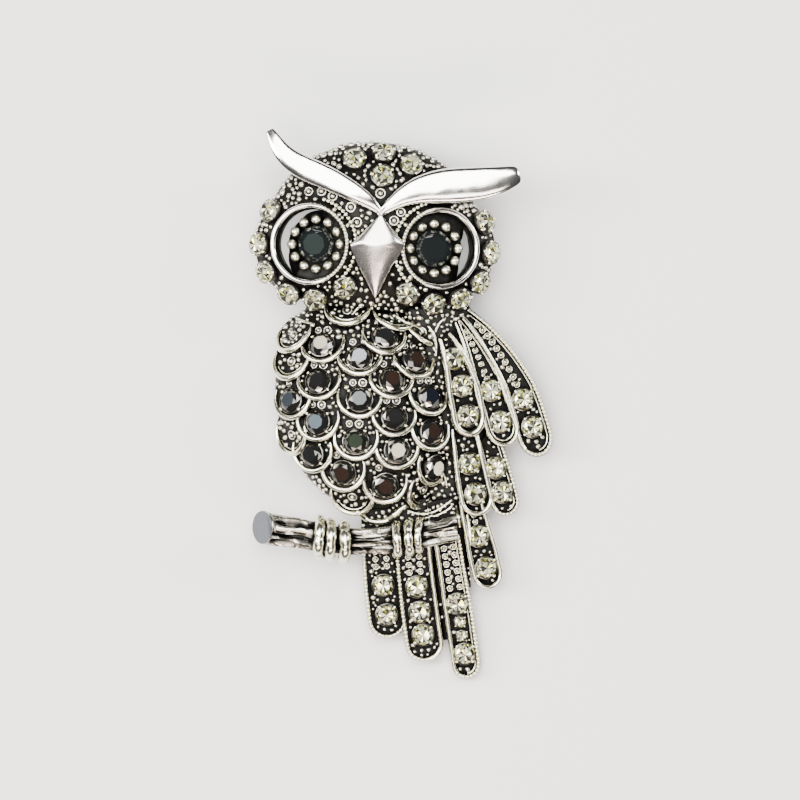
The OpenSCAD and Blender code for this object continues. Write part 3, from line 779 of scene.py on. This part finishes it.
# Branch, feet and the casting between body and wing
branch = {
    # across and up in shares of half the body, and share of the thickness
    "line": [
        (-1.15, -1.14, 1.38), (-1.11, -1.145, 1.27), (-1.04, -1.16, 1.18), (-0.88, -1.175, 1.14),
        (-0.72, -1.19, 1.15), (-0.46, -1.235, 1.06), (-0.2, -1.27, 1), (0.1, -1.262, 0.97),
        (0.39, -1.25, 0.96), (0.73, -1.2, 0.97), (1.07, -1.15, 1),
    ],
    "thick": 2.9, "z": wingLift * 0.93, "sides": 72, "stations": 110, "cut": 0.62, "cutRim": 0.93,
    "swell": 0.1, "hollow": 0.36, "fine": 0.13,
    # across and radius of each toe
    "toes": [(-0.5, 0.6), (-0.37, 0.6), (-0.21, 0.66), (0.385, 0.48), (0.52, 0.52), (0.63, 0.42)],
    "toeSpan": 112,
}


def branchAt(u):
    rows = branch["line"]
    for (u0, v0, w0), (u1, v1, w1) in zip(rows, rows[1:]):
        if u <= u1 or (u1, v1, w1) == rows[-1]:
            share = (u - u0) / (u1 - u0)
            return spotOn(body, u, mix(v0, v1, share), branch["z"]), mix(w0, w1, share) * branch["thick"] / 2


def barkHeight(along, angle):
    # long hollows with hard edges, and fine grooves that wander
    place = Vector((along * 0.3, 1.5 * cos(angle), 1.5 * sin(angle)))
    far = Vector((along * 0.2 + 9, 2.6 * cos(angle), 2.6 * sin(angle)))
    hollow = clamp((noise.noise(far) + 0.02) * 5)
    groove = max(0, cos(12 * angle + 3 * noise.noise(place * 0.8))) ** 3
    return 1.05 + branch["swell"] * noise.noise(place) - branch["hollow"] * hollow - branch["fine"] * groove


def makeBranch():
    rings = []
    first, last = branch["line"][0][0], branch["line"][-1][0]
    for k in range(branch["stations"] + 1):
        here, radius = branchAt(mix(first, last, k / branch["stations"]))
        if k == 0:
            radius *= branch["cutRim"]
        lean = branch["cut"] * max(0, 1 - k / 10)  # the cut end faces up a little
        ring = []
        for j in range(branch["sides"]):
            angle = tau * (j / branch["sides"] + 0.25)
            bark = mix(1, barkHeight(here.x, angle), min(1, k / 5))
            ring.append(here + radius * bark * Vector((lean * sin(angle), cos(angle), sin(angle))))
        rings.append(ring)
    bm = bmesh.new()
    loft(bm, rings)
    for face in bm.faces:
        face.material_index = 1 if len(face.verts) > 4 and face.normal.x < 0 else 0
    finishPiece("branch", bm, "barkSilver cutSilver", 50)


def makeToes():
    lines = []
    for index, (u, toe) in enumerate(branch["toes"]):
        middle, radius = branchAt(u)
        reach = radius + toe * 0.45
        line = []
        for k in range(65):
            angle = radians(mix(-branch["toeSpan"], branch["toeSpan"], k / 64))
            sway = 0.1 * sin(angle * 2 + index)
            knuckle = mix(0.8, 1.06, abs(sin(pi * (4 * k / 64 + 0.15 * index))) ** 0.5)
            line.append((middle + Vector((sway, sin(angle) * reach * 1.06, cos(angle) * reach)),
                         toe * knuckle))
        lines.append(line)
    finishTubes("toes", lines)


shoulder = {
    # across and up in shares of half the body, height in shares of the wing's lift
    "corners": [
        (0.56, 0.8, 0.9), (1.16, 0.8, 0.86), (0.72, 0.62, 0.93), (1.1, 0.6, 0.86), (0.8, -0.3, 0.8),
        (1.36, -0.26, 0.68), (1.2, -0.6, 0.6), (0.76, -0.72, 0.58), (1.16, -1.02, 0.46),
        (0.9, -1.05, 0.5),
    ],
    "radius": 0.7,
}


def makeShoulder():
    # rounded casting through the corners, three at a time
    places = [shifted(*spotOn(body, u, v, wingLift * z)) for u, v, z in shoulder["corners"]]
    bm = bmesh.new()
    for i in range(len(places) - 2):
        part = bmesh.new()
        for place in places[i:i + 3]:
            bmesh.ops.create_icosphere(part, subdivisions=2, radius=shoulder["radius"], matrix=place)
        hull = bmesh.ops.convex_hull(part, input=part.verts)
        spare = set(onlyVerts(hull["geom_interior"] + hull["geom_unused"]))
        bmesh.ops.delete(part, geom=list(spare), context="VERTS")
        faceOutwards(part)
        bm.from_mesh(asTemplate(part))
    finishPiece("wingShoulder", bm, "darkSilver", 50)


tongue = {"width": 6.8, "stud": 2.0, "gap": 0.05, "corner": 1, "edge": 0.12}


def roundEdges(bm, edges, offset, segments):
    bmesh.ops.bevel(bm, geom=edges, offset=offset, offset_type="OFFSET", affect="EDGES", segments=segments,
                    profile=0.5, material=-1, clamp_overlap=True)


def makeTongue():
    # flat tongue behind the head, with the hole of the head's stud
    low = body["y"] + body["height"] / 2 - head["chinLap"] * 0.8 - tongue["stud"] / 2
    studY = head["y"] - head["height"] / 2 + head["chinLap"] * 1.65
    high = studY + tongue["stud"] * 2.1
    thick = head["tongue"] - tongue["gap"]
    bm = bmesh.new()
    bmesh.ops.create_cube(bm, size=1, matrix=shifted(head["x"], (high + low) / 2, body["back"] + thick / 2)
                          @ Matrix.Diagonal((tongue["width"], high - low, thick, 1)))
    upright = [e for e in bm.edges if abs(e.verts[0].co.z - e.verts[1].co.z) > 0.5]
    roundEdges(bm, upright, tongue["corner"], 6)
    roundEdges(bm, bm.edges[:], tongue["edge"], 2)
    middle = shifted(head["x"], studY, body["back"])
    bore = makeDrum(tongue["stud"] / 2 + tongue["gap"], -3, 3, 48, middle)
    finishPiece("headTongue", bm, "backSilver", cutters=[bore])
    stud = bmesh.new()
    spinProfile(stud, [(0.001, 0), (0.85, 0), (1, 0.15), (1, 2.4), (1.8, 2.4), (1.8, 4.2), (0.001, 4.2)], 40)
    stud.transform(middle)
    faceOutwards(stud, 0.01)
    finishPiece("headStud", stud, "backSilver", 40, "head_casting")


# dark casting between the feathers: across and up in shares of half the body, height and radius
webs = [
    [(0.84, -1.298, 3.2, 0.6), (0.875, -1.611, 2.7, 0.7), (0.92, -1.924, 2, 0.55),
     (0.954, -2.147, 1.5, 0.5)],
    [(1.091, -1.002, 3.9, 0.7), (1.137, -1.342, 3.1, 0.6), (1.193, -1.682, 2.3, 0.4)],
]


makeBranch()
makeToes()
makeShoulder()
makeTongue()
lines = [[(spotOn(body, u, v, z), radius) for u, v, z, radius in web] for web in webs]
finishTubes("featherWebs", lines, "darkSilver")
print("branch, feet and tongue")


# Head
eye = {
    "ring": 4.6, "rim": 0.55, "cheek": 2.7, "slope": 30, "tilt": 14.5, "rise": 4, "sink": 0.9,
    "plate": 3.25, "plateThick": 1.6, "stone": 2.1, "bead": 0.58, "beads": 12, "inset": 0.3,
}
eyes = [  # across, up, side of the beak and pierced crescent
    {"name": "left", "at": (-0.59, -0.17), "side": 1, "crescent": (77, 236)},
    {"name": "right", "at": (0.63, -0.22), "side": -1, "crescent": (-58, 41)},
]
eye["inner"] = eye["ring"] - eye["rim"]
eye["drop"] = eye["cheek"] * tan(radians(eye["slope"]))
eye["reach"] = eye["ring"] + eye["cheek"] - 0.95  # the stones stand half past the mound
for e in eyes:
    tilted = turned(-e["side"] * eye["tilt"], "Y")
    e["place"] = shifted(*spotOn(head, *e["at"], head["back"] + eye["rise"])) @ tilted
    e["shift"] = Vector((e["side"] * (eye["inner"] - eye["plate"] - eye["inset"]), 0, 0))


def makeCheek(e):
    inner, ring, drop, reach = eye["inner"], eye["ring"], eye["drop"], eye["reach"]
    plateLow = -eye["sink"] - eye["plateThick"]
    foot = -90  # stands for the head's back, which isn't at one height in the tilted frame
    bm = bmesh.new()
    spinProfile(bm, [
        (inner, plateLow), (inner, -0.12), (inner + 0.12, 0), (ring - 0.05, 0), (ring + 0.05, -0.14),
        (ring + 0.5, -0.42), (reach - 0.35, 0.14 - drop), (reach - 0.06, -drop - 0.04),
        (reach, -drop - 0.35), (reach - 0.1, foot), (reach - 1.1, foot), (reach - 1.5, -drop - 0.6),
        (inner + 0.6, plateLow),
    ], 72)
    middle = spotOn(head, *e["at"], head["back"] + 0.05)
    for v in bm.verts:
        v.co = e["place"] @ v.co if v.co.z > foot / 2 else middle + Vector((v.co.x, v.co.y, 0))
    faceOutwards(bm)
    finishPiece(e["name"] + "Cheek", bm, "darkSilver", 50, "head_casting")


def makeEyePlate(e):
    # with a crescent pierced between the plate's edge and the ring
    top = -eye["sink"]
    plate = makeDrum(eye["inner"] + 0.15, top - eye["plateThick"] * 0.6, top, 72, e["place"])
    first, last = e["crescent"]
    edge = eye["inner"] - 0.12
    outline = [onCircle(edge, mix(first, last, k / 20), -4) for k in range(21)]
    for k in range(1, 20):
        ray = onCircle(1, mix(last, first, k / 20))
        b = ray.dot(e["shift"])
        plateEdge = b + sqrt(b * b - e["shift"].length_squared + eye["plate"] ** 2)
        outline.append(ray * mix(edge - 0.02, plateEdge, min(1, min(k, 20 - k) / 5)) + Vector((0, 0, -4)))
    hole = bmesh.new()
    face = hole.faces.new([hole.verts.new(place) for place in outline])
    raised = onlyVerts(bmesh.ops.extrude_face_region(hole, geom=[face])["geom"])
    bmesh.ops.translate(hole, vec=(0, 0, 8), verts=raised)
    faceOutwards(hole)
    hole.transform(e["place"])
    finishPiece(e["name"] + "EyePlate", plate, "darkSilver", 40, "head_casting", cutters=[hole])


def makeEyeRings():
    beads, pearls = bmesh.new(), bmesh.new()
    middle = eye["ring"] - eye["rim"] / 2
    lines = []
    for e in eyes:
        facing = 0 if e["side"] > 0 else 180
        # smooth on the outer side, milled beside the beak
        line = []
        for k in range(97):
            away = abs((360 * k / 96 + 180) % 360 - 180)
            radius = mix(0.17, 0.3, clamp((away - 55) / 25))
            line.append((e["place"] @ onCircle(middle, facing + 360 * k / 96, 0.02), radius))
        lines.append(line)
        addBeads(beads, e["place"], middle, 0.23, [facing + 5.4 * k for k in range(-12, 13)], 0.12)
        outside = [facing + e["side"] * 5.6 * k for k in range(-9, 14)]
        addBeads(beads, e["place"], eye["ring"] + 0.62, 0.26, outside, -0.36)
        turns = [360 * k / eye["beads"] for k in range(eye["beads"])]
        reach = eye["stone"] + eye["bead"] + 0.12
        addBeads(pearls, e["place"] @ shifted(*e["shift"]), reach, eye["bead"], turns, 0.14 - eye["sink"])
    finishTubes("eyeRings", lines, "polishedSilver", "head_casting")
    finishPiece("eyeBeads", beads, "beadSilver", 80, "head_casting")
    finishPiece("eyePearls", pearls, "pearlSilver", 80, "head_casting")


brow = {
    "width": 3.95, "rise": 0.75, "keel": 2.3, "crease": 0.45,
    # across, up, width, height and depth of the root, in shares of their sizes
    "leftBrow": [
        (-0.972, 1.125, 0.24, 0.76, 0.12), (-0.95, 1.075, 0.36, 0.78, 0.14),
        (-0.87, 0.88, 0.58, 0.86, 0.3), (-0.71, 0.72, 0.71, 0.93, 0.7), (-0.46, 0.6, 0.71, 1, 1),
        (-0.22, 0.45, 0.62, 1.05, 1), (-0.03, 0.31, 0.42, 1.06, 0.8), (0.08, 0.18, 0.16, 1, 0.5),
    ],
    "rightBrow": [
        (0.05, 0.15, 0.17, 0.98, 0.48), (0.21, 0.32, 0.45, 1.07, 0.8), (0.4, 0.44, 0.78, 1.05, 1),
        (0.66, 0.49, 1.03, 1.04, 1), (0.95, 0.5, 1.03, 1.03, 0.6), (1.2, 0.55, 0.84, 1.01, 0.3),
        (1.335, 0.605, 0.62, 0.98, 0.2), (1.375, 0.62, 0.5, 0.96, 0.17),
        (1.39, 0.626, 0.24, 0.94, 0.15),
    ],
    # across in shares of half the width, down in shares of the keel and up in shares of the rise
    "section": [
        (-0.85, -1, 0), (0.8, -1, 0), (1, -0.12, 0), (0.99, 0, 0.42), (0.84, 0, 0.86), (0.4, 0, 1),
        (-0.3, 0, 0.92), (-0.84, 0, 0.66), (-0.99, 0, 0.25), (-1, -0.12, 0),
    ],
}


def makeBrow(name):
    rows, rings = brow[name], []
    for k, (u, v, width, height, root) in enumerate(rows):
        before, after = rows[max(0, k - 1)], rows[min(len(rows) - 1, k + 1)]
        along = (spotOn(head, *after[:2]) - spotOn(head, *before[:2])).normalized()
        side = Vector((-along.y, along.x, 0)) * width * brow["width"] / 2
        middle = spotOn(head, u, v, head["back"] + height * head["dome"])
        keel, up = brow["keel"] * root, brow["rise"] * sqrt(width)
        rings.append([middle + side * across + Vector((0, 0, keel * low + up * rise))
                      for across, low, rise in brow["section"]])
    bm = bmesh.new()
    loft(bm, rings)
    crease = bm.edges.layers.float.new("crease_edge")
    for edge in bm.edges:
        if edge.calc_face_angle() > radians(55):
            edge[crease] = brow["crease"]
    finishPiece(name, bm, "polishedSilver", 60, "head_casting", smoothing=3)


beak = {
    "top": 21.47, "point": 12.08, "width": 6.3, "crest": 0.365, "foot": 3, "columns": 24, "rows": 44,
    # heights over the head's dome: at the top, the sides, the point and the peak of the crest
    "topZ": 1.15, "sideZ": 1.05, "pointZ": -0.4, "peakZ": 1.9,
}


def softLeast(a, b, sharpness=14):
    return -log(exp(-sharpness * a) + exp(-sharpness * b)) / sharpness


def makeBeak():
    # a kite, flat above, with a rounded crest where it is widest and a ridge down to its point
    base = domeTop(head, 0.02, -0.19)[0].z
    crest = beak["crest"]
    bm = bmesh.new()
    for v in bmesh.ops.create_grid(bm, x_segments=beak["columns"], y_segments=beak["rows"], size=1)["verts"]:
        across, down = v.co.x, (1 - v.co.y) / 2
        past = (down - crest) / (1 - crest)
        half = max(0, softLeast(down / crest, 1 - past)) * beak["width"] / 2
        if past < 0:
            edge = mix(beak["sideZ"], beak["topZ"], past / (past - down))
            ridge = mix(beak["topZ"], beak["peakZ"], down / crest)
        else:
            edge = mix(beak["sideZ"], beak["pointZ"], past)
            ridge = mix(beak["peakZ"], beak["pointZ"], past * (0.72 + 0.28 * past))
        flat = mix(7, 1.9, clamp((down - 0.24) / 0.14))
        middle = mix(-2.15, -2.78, min(1, down * 1.6))
        v.co = Vector((middle + across * half, mix(beak["top"], beak["point"], down),
                       base + mix(edge, ridge, 1 - abs(across) ** flat)))
    rim = [e for e in bm.edges if e.is_boundary]
    foot = onlyVerts(bmesh.ops.extrude_edge_only(bm, edges=rim)["geom"])
    bmesh.ops.translate(bm, vec=(0, 0, -beak["foot"]), verts=foot)
    bmesh.ops.remove_doubles(bm, verts=bm.verts, dist=0.004)
    bmesh.ops.holes_fill(bm, edges=bm.edges, sides=0)
    faceOutwards(bm)
    finishPiece("beak", bm, "beakSilver", 50, "head_casting")


holes = [makeDrum(eye["inner"] + 0.1, -9, 6, 64, e["place"]) for e in eyes]
finishPiece("headBowl", domeShell(head), "darkSilver", 40, "head_casting", cutters=holes)
for make in (makeCheek, makeEyePlate):
    for e in eyes:
        make(e)
makeEyeRings()
makeBrow("leftBrow")
makeBrow("rightBrow")
makeBeak()
print("head")


def makeHeadSettings():
    cups, beads = bmesh.new(), bmesh.new()
    for index, (origin, axis, diameter) in enumerate(crownSeats + cheekSeats["left"] + cheekSeats["right"]):
        place = placeAt(origin, axis)
        stamp(cups, clearCup, place)
        addBeads(beads, place, diameter / 2 + 0.05, 0.2, [15 * (index % 3) + 72 * k for k in range(5)])
    finishPiece("headCups", cups, "cupSilver", 40, "head_casting")
    finishPiece("headProngs", beads, "beadSilver", 80, "head_casting")


makeHeadSettings()
print("settings")


# Granules and ring-shaped beads, dropped on whatever open ground lies below them
granule = {
    "gap": 0.03, "steepest": 0.12, "share": 0.42,
    # across, up and size of the ring-shaped beads of the head, in shares of half the head
    "headRings": [
        (-0.603, 0.429, 0.56), (-0.481, 0.429, 0.58), (-0.377, 0.372, 0.6), (-0.292, 0.315, 0.6),
        (-0.207, 0.246, 0.62), (-0.15, 0.076, 0.62), (0.199, 0.093, 0.6), (0.265, 0.19, 0.56),
        (0.072, 0.404, 0.64),
    ],
    # across, up and size on a scale with a stone and on a plain one
    "stoneRings": [(0.35, 1.98, 0.52), (-0.75, 2, 0.42)],
    "plainRings": [(0, 0.2, 0.6), (-0.9, 0.8, 0.46), (0.9, 0.7, 0.5)],
}
down = Vector((0, 0, -1))


def groundTree():
    # every face of the finished pieces, in millimetres, and the piece that it belongs to
    places, faces, owners = [], [], []
    nodes = set(frame["nodes"].values())
    for piece in scene.objects:
        if piece.type == "MESH" and piece not in nodes:
            start = len(places)
            places += [v.co / mm for v in piece.data.vertices]
            faces += [[start + i for i in polygon.vertices] for polygon in piece.data.polygons]
            owners += [piece.name] * len(piece.data.polygons)
    return BVHTree.FromPolygons(places, faces), owners


tree, owners = groundTree()


def strew(name, node, grounds, part, low, high, rings, sizes, tries):
    low, high = spotOn(part, *low), spotOn(part, *high)
    bm = bmesh.new()
    spots = []

    def put(x, y, radius, template, shape, turns, often):
        above = Vector((x, y, 30))
        at, normal, face, _ = tree.ray_cast(above, down)
        if at is None or owners[face] not in grounds or normal.z < granule["steepest"]:
            return
        # steep ground is hit less often, so more of the hits stay there
        if often * normal.z > granule["share"]:
            return
        if any((at - place).length < size + radius + granule["gap"] for place, size in spots):
            return
        for turn in turns:
            beside, _, face, _ = tree.ray_cast(above + onCircle(radius * 1.1, turn), down)
            if beside is not None and owners[face] not in grounds:
                return
        spots.append((at, radius))
        turn = turned(random.uniform(0, 180))
        stamp(bm, template, placeAt(at, normal) @ turn @ Matrix.Diagonal((*shape, 1)))

    for x, y, radius in rings:
        put(x, y, radius, ringBeadTemplate, (radius, radius, radius), (), 0)
    for _ in range(tries):
        radius = random.uniform(*sizes)
        put(random.uniform(low.x, high.x), random.uniform(low.y, high.y), radius, granuleTemplate,
            (radius * random.uniform(0.85, 1.4), radius, radius), (0, 90, 180, 270), random.random())
    finishPiece(name, bm, "granuleSilver", 80, node)


# across and up in shares of half the body, and radius: below the belly, beside the branch and at the neck
folds = [
    ([(-0.07, -0.993), (0.009, -1.056), (0.123, -1.096), (0.26, -1.092), (0.351, -1.038), (0.419, -0.984),
      (0.499, -0.94)], 0.38),
    ([(0.51, -0.993), (0.647, -1.029), (0.795, -1.011), (0.909, -0.958), (1.011, -0.895)], 0.14),
    ([(0.67, -1.065), (0.84, -1.038), (0.966, -0.984), (1.034, -0.931)], 0.12),
    ([(1.057, -0.94), (1.08, -1.029), (1.102, -1.145)], 0.24),
    ([(1.182, -1.02), (1.205, -1.119), (1.228, -1.298)], 0.2),
    ([(0.374, 0.751), (0.465, 0.698), (0.579, 0.671), (0.692, 0.617)], 0.2),
    ([(-0.765, 0.733), (-0.674, 0.698), (-0.56, 0.68)], 0.16),
    ([(0.738, 0.662), (0.806, 0.59), (0.84, 0.492), (0.829, 0.393)], 0.17),
    ([(0.943, 0.733), (0.875, 0.698), (0.829, 0.626)], 0.15),
    ([(0.886, -0.627), (0.943, -0.698), (0.954, -0.788)], 0.14),
    ([(0.009, 0.85), (-0.07, 0.814), (-0.127, 0.76)], 0.16),
]


def makeFolds():
    # rounded lines on whatever lies below them
    lines = []
    for stops, radius in folds:
        path = [spotOn(body, u, v, 30) for u, v in stops]
        for _ in range(3):
            cut = [spot for a, b in zip(path, path[1:]) for spot in (a.lerp(b, 0.25), a.lerp(b, 0.75))]
            path = [path[0]] + cut + [path[-1]]
        hits = [tree.ray_cast(spot, down)[0] for spot in path]
        found = [hit.z for hit in hits if hit]
        tops = [hit.z if hit else sum(found) / len(found) for hit in hits]
        line = []
        for k, spot in enumerate(path):
            near = tops[max(0, k - 3):k + 4]
            share = 2 * k / (len(path) - 1) - 1
            line.append((Vector((spot.x, spot.y, sum(near) / len(near) + radius * 0.3)),
                         radius * mix(1, 0.4, abs(share) ** 4)))
        lines.append(line)
    finishTubes("bodyFolds", lines, resolution=3)


makeFolds()
bellyRings = []
for place, withStone in scalePlaces():
    for x, y, radius in granule["stoneRings" if withStone else "plainRings"]:
        bellyRings.append((*(place @ Vector((x, y, 0))).xy, radius))
headRings = [(*spotOn(head, u, v).xy, size) for u, v, size in granule["headRings"]]
strew("bellyGranules", "body_casting", {"bellyDome", "bellyScales", "wingShoulder"}, body, (-1.02, -1.02),
      (1.5, 1.02), bellyRings, (0.16, 0.34), 20000)
strew("headGranules", "head_casting", {"headBowl", "leftCheek", "rightCheek"}, head, (-1.15, -1.1),
      (1.15, 1.02), headRings, (0.18, 0.38), 20000)
strew("wingGranules", "body_casting", {"wingFloors"}, body, (0.6, -1.8), (2.15, 0.9), [], (0.16, 0.3), 9000)
strew("tailGranules", "body_casting", {"tailFloors", "featherWebs"}, body, (-0.05, -2.6), (1.5, -0.85), [],
      (0.16, 0.3), 9000)
print("granules")


# The back of the castings and the side walls of the feathers aren't blackened
steepest = {"wingFloors": 0.3, "tailFloors": 0.3, "featherWebs": 0.3, "bellyScales": -0.7}
for piece in scene.objects:
    if piece.type == "MESH" and piece.data.materials.get("darkSilver"):
        piece.data.materials.append(bpy.data.materials["backSilver"])
        for face in piece.data.polygons:
            if face.normal.z < steepest.get(piece.name, -0.3):
                face.material_index = len(piece.data.materials) - 1

# Pin: its own solid, in bright plate
pin = frame["nodes"]["pin_clasp"]
pin.data.materials.clear()
pin.data.materials.append(bpy.data.materials["pinSteel"])

# Floor, lights and camera
stage = {
    "floor": 0.9, "floorTone": (0.74, 0.74, 0.73, 1), "room": (0.92, 0.95, 1, 1), "roomStrength": 0.07,
    "view": 0.09018,  # width of the photograph at the brooch's middle height
    "middleZ": 0.0055, "middleY": 0.000676, "distance": 0.8, "sensor": 36,
    # name, place, width, height, power and colour
    "lights": [
        ("topLight", (-0.12, 0.16, 0.92), 0.84, 0.66, 27, (1, 0.985, 0.96)),
        ("leftLight", (-0.42, 0.06, 0.34), 0.16, 0.3, 4, (1, 0.99, 0.97)),
        ("frontLight", (0, -0.34, 0.82), 0.6, 0.13, 3, (1, 0.9, 0.83)),
        ("lowLight", (0.02, -0.46, 0.38), 0.46, 0.12, 3, (1, 0.8, 0.7)),
        ("rightLight", (0.46, 0.16, 0.26), 0.08, 0.24, 2, (0.95, 0.98, 1)),
    ],
}


def makeFloor():
    bm = bmesh.new()
    bmesh.ops.create_grid(bm, x_segments=1, y_segments=1, size=stage["floor"] / 2 / mm,
                          matrix=shifted(z=cadLow.z / mm - 0.002))
    tree, shader = newMaterial("palePaper")
    paper = {"Height": addCloud(tree, 900), "Strength": 0.12, "Distance": 0.0002}
    setInputs(shader, {"Base Color": stage["floorTone"], "Roughness": 0.8,
                       "Normal": addNode(tree, "Bump", paper)["Normal"]})
    floor = makeObject("paleFloor", bm, "palePaper")


def makeLight(name, place, width, height, power, colour):
    data = bpy.data.lights.new(name, "AREA")
    data.shape = "RECTANGLE"
    data.size, data.size_y = width, height
    data.energy = power
    data.color = colour
    lamp = addObject(name, data)
    lamp.location = place
    lamp.rotation_euler = (-Vector(place)).to_track_quat("-Z", "Y").to_euler()


makeFloor()
for row in stage["lights"]:
    makeLight(*row)
scene.world = bpy.data.worlds.new("softRoom")
scene.world.use_nodes = True
room = {"Color": stage["room"], "Strength": stage["roomStrength"]}
setInputs(scene.world.node_tree.nodes["Background"], room)

cameraData = bpy.data.cameras.new("camera")
cameraData.sensor_width = stage["sensor"]
cameraData.lens = stage["sensor"] * (stage["distance"] - stage["middleZ"]) / stage["view"]
scene.camera = addObject("camera", cameraData)
scene.camera.location = (0, stage["middleY"], stage["distance"])
print("stage")
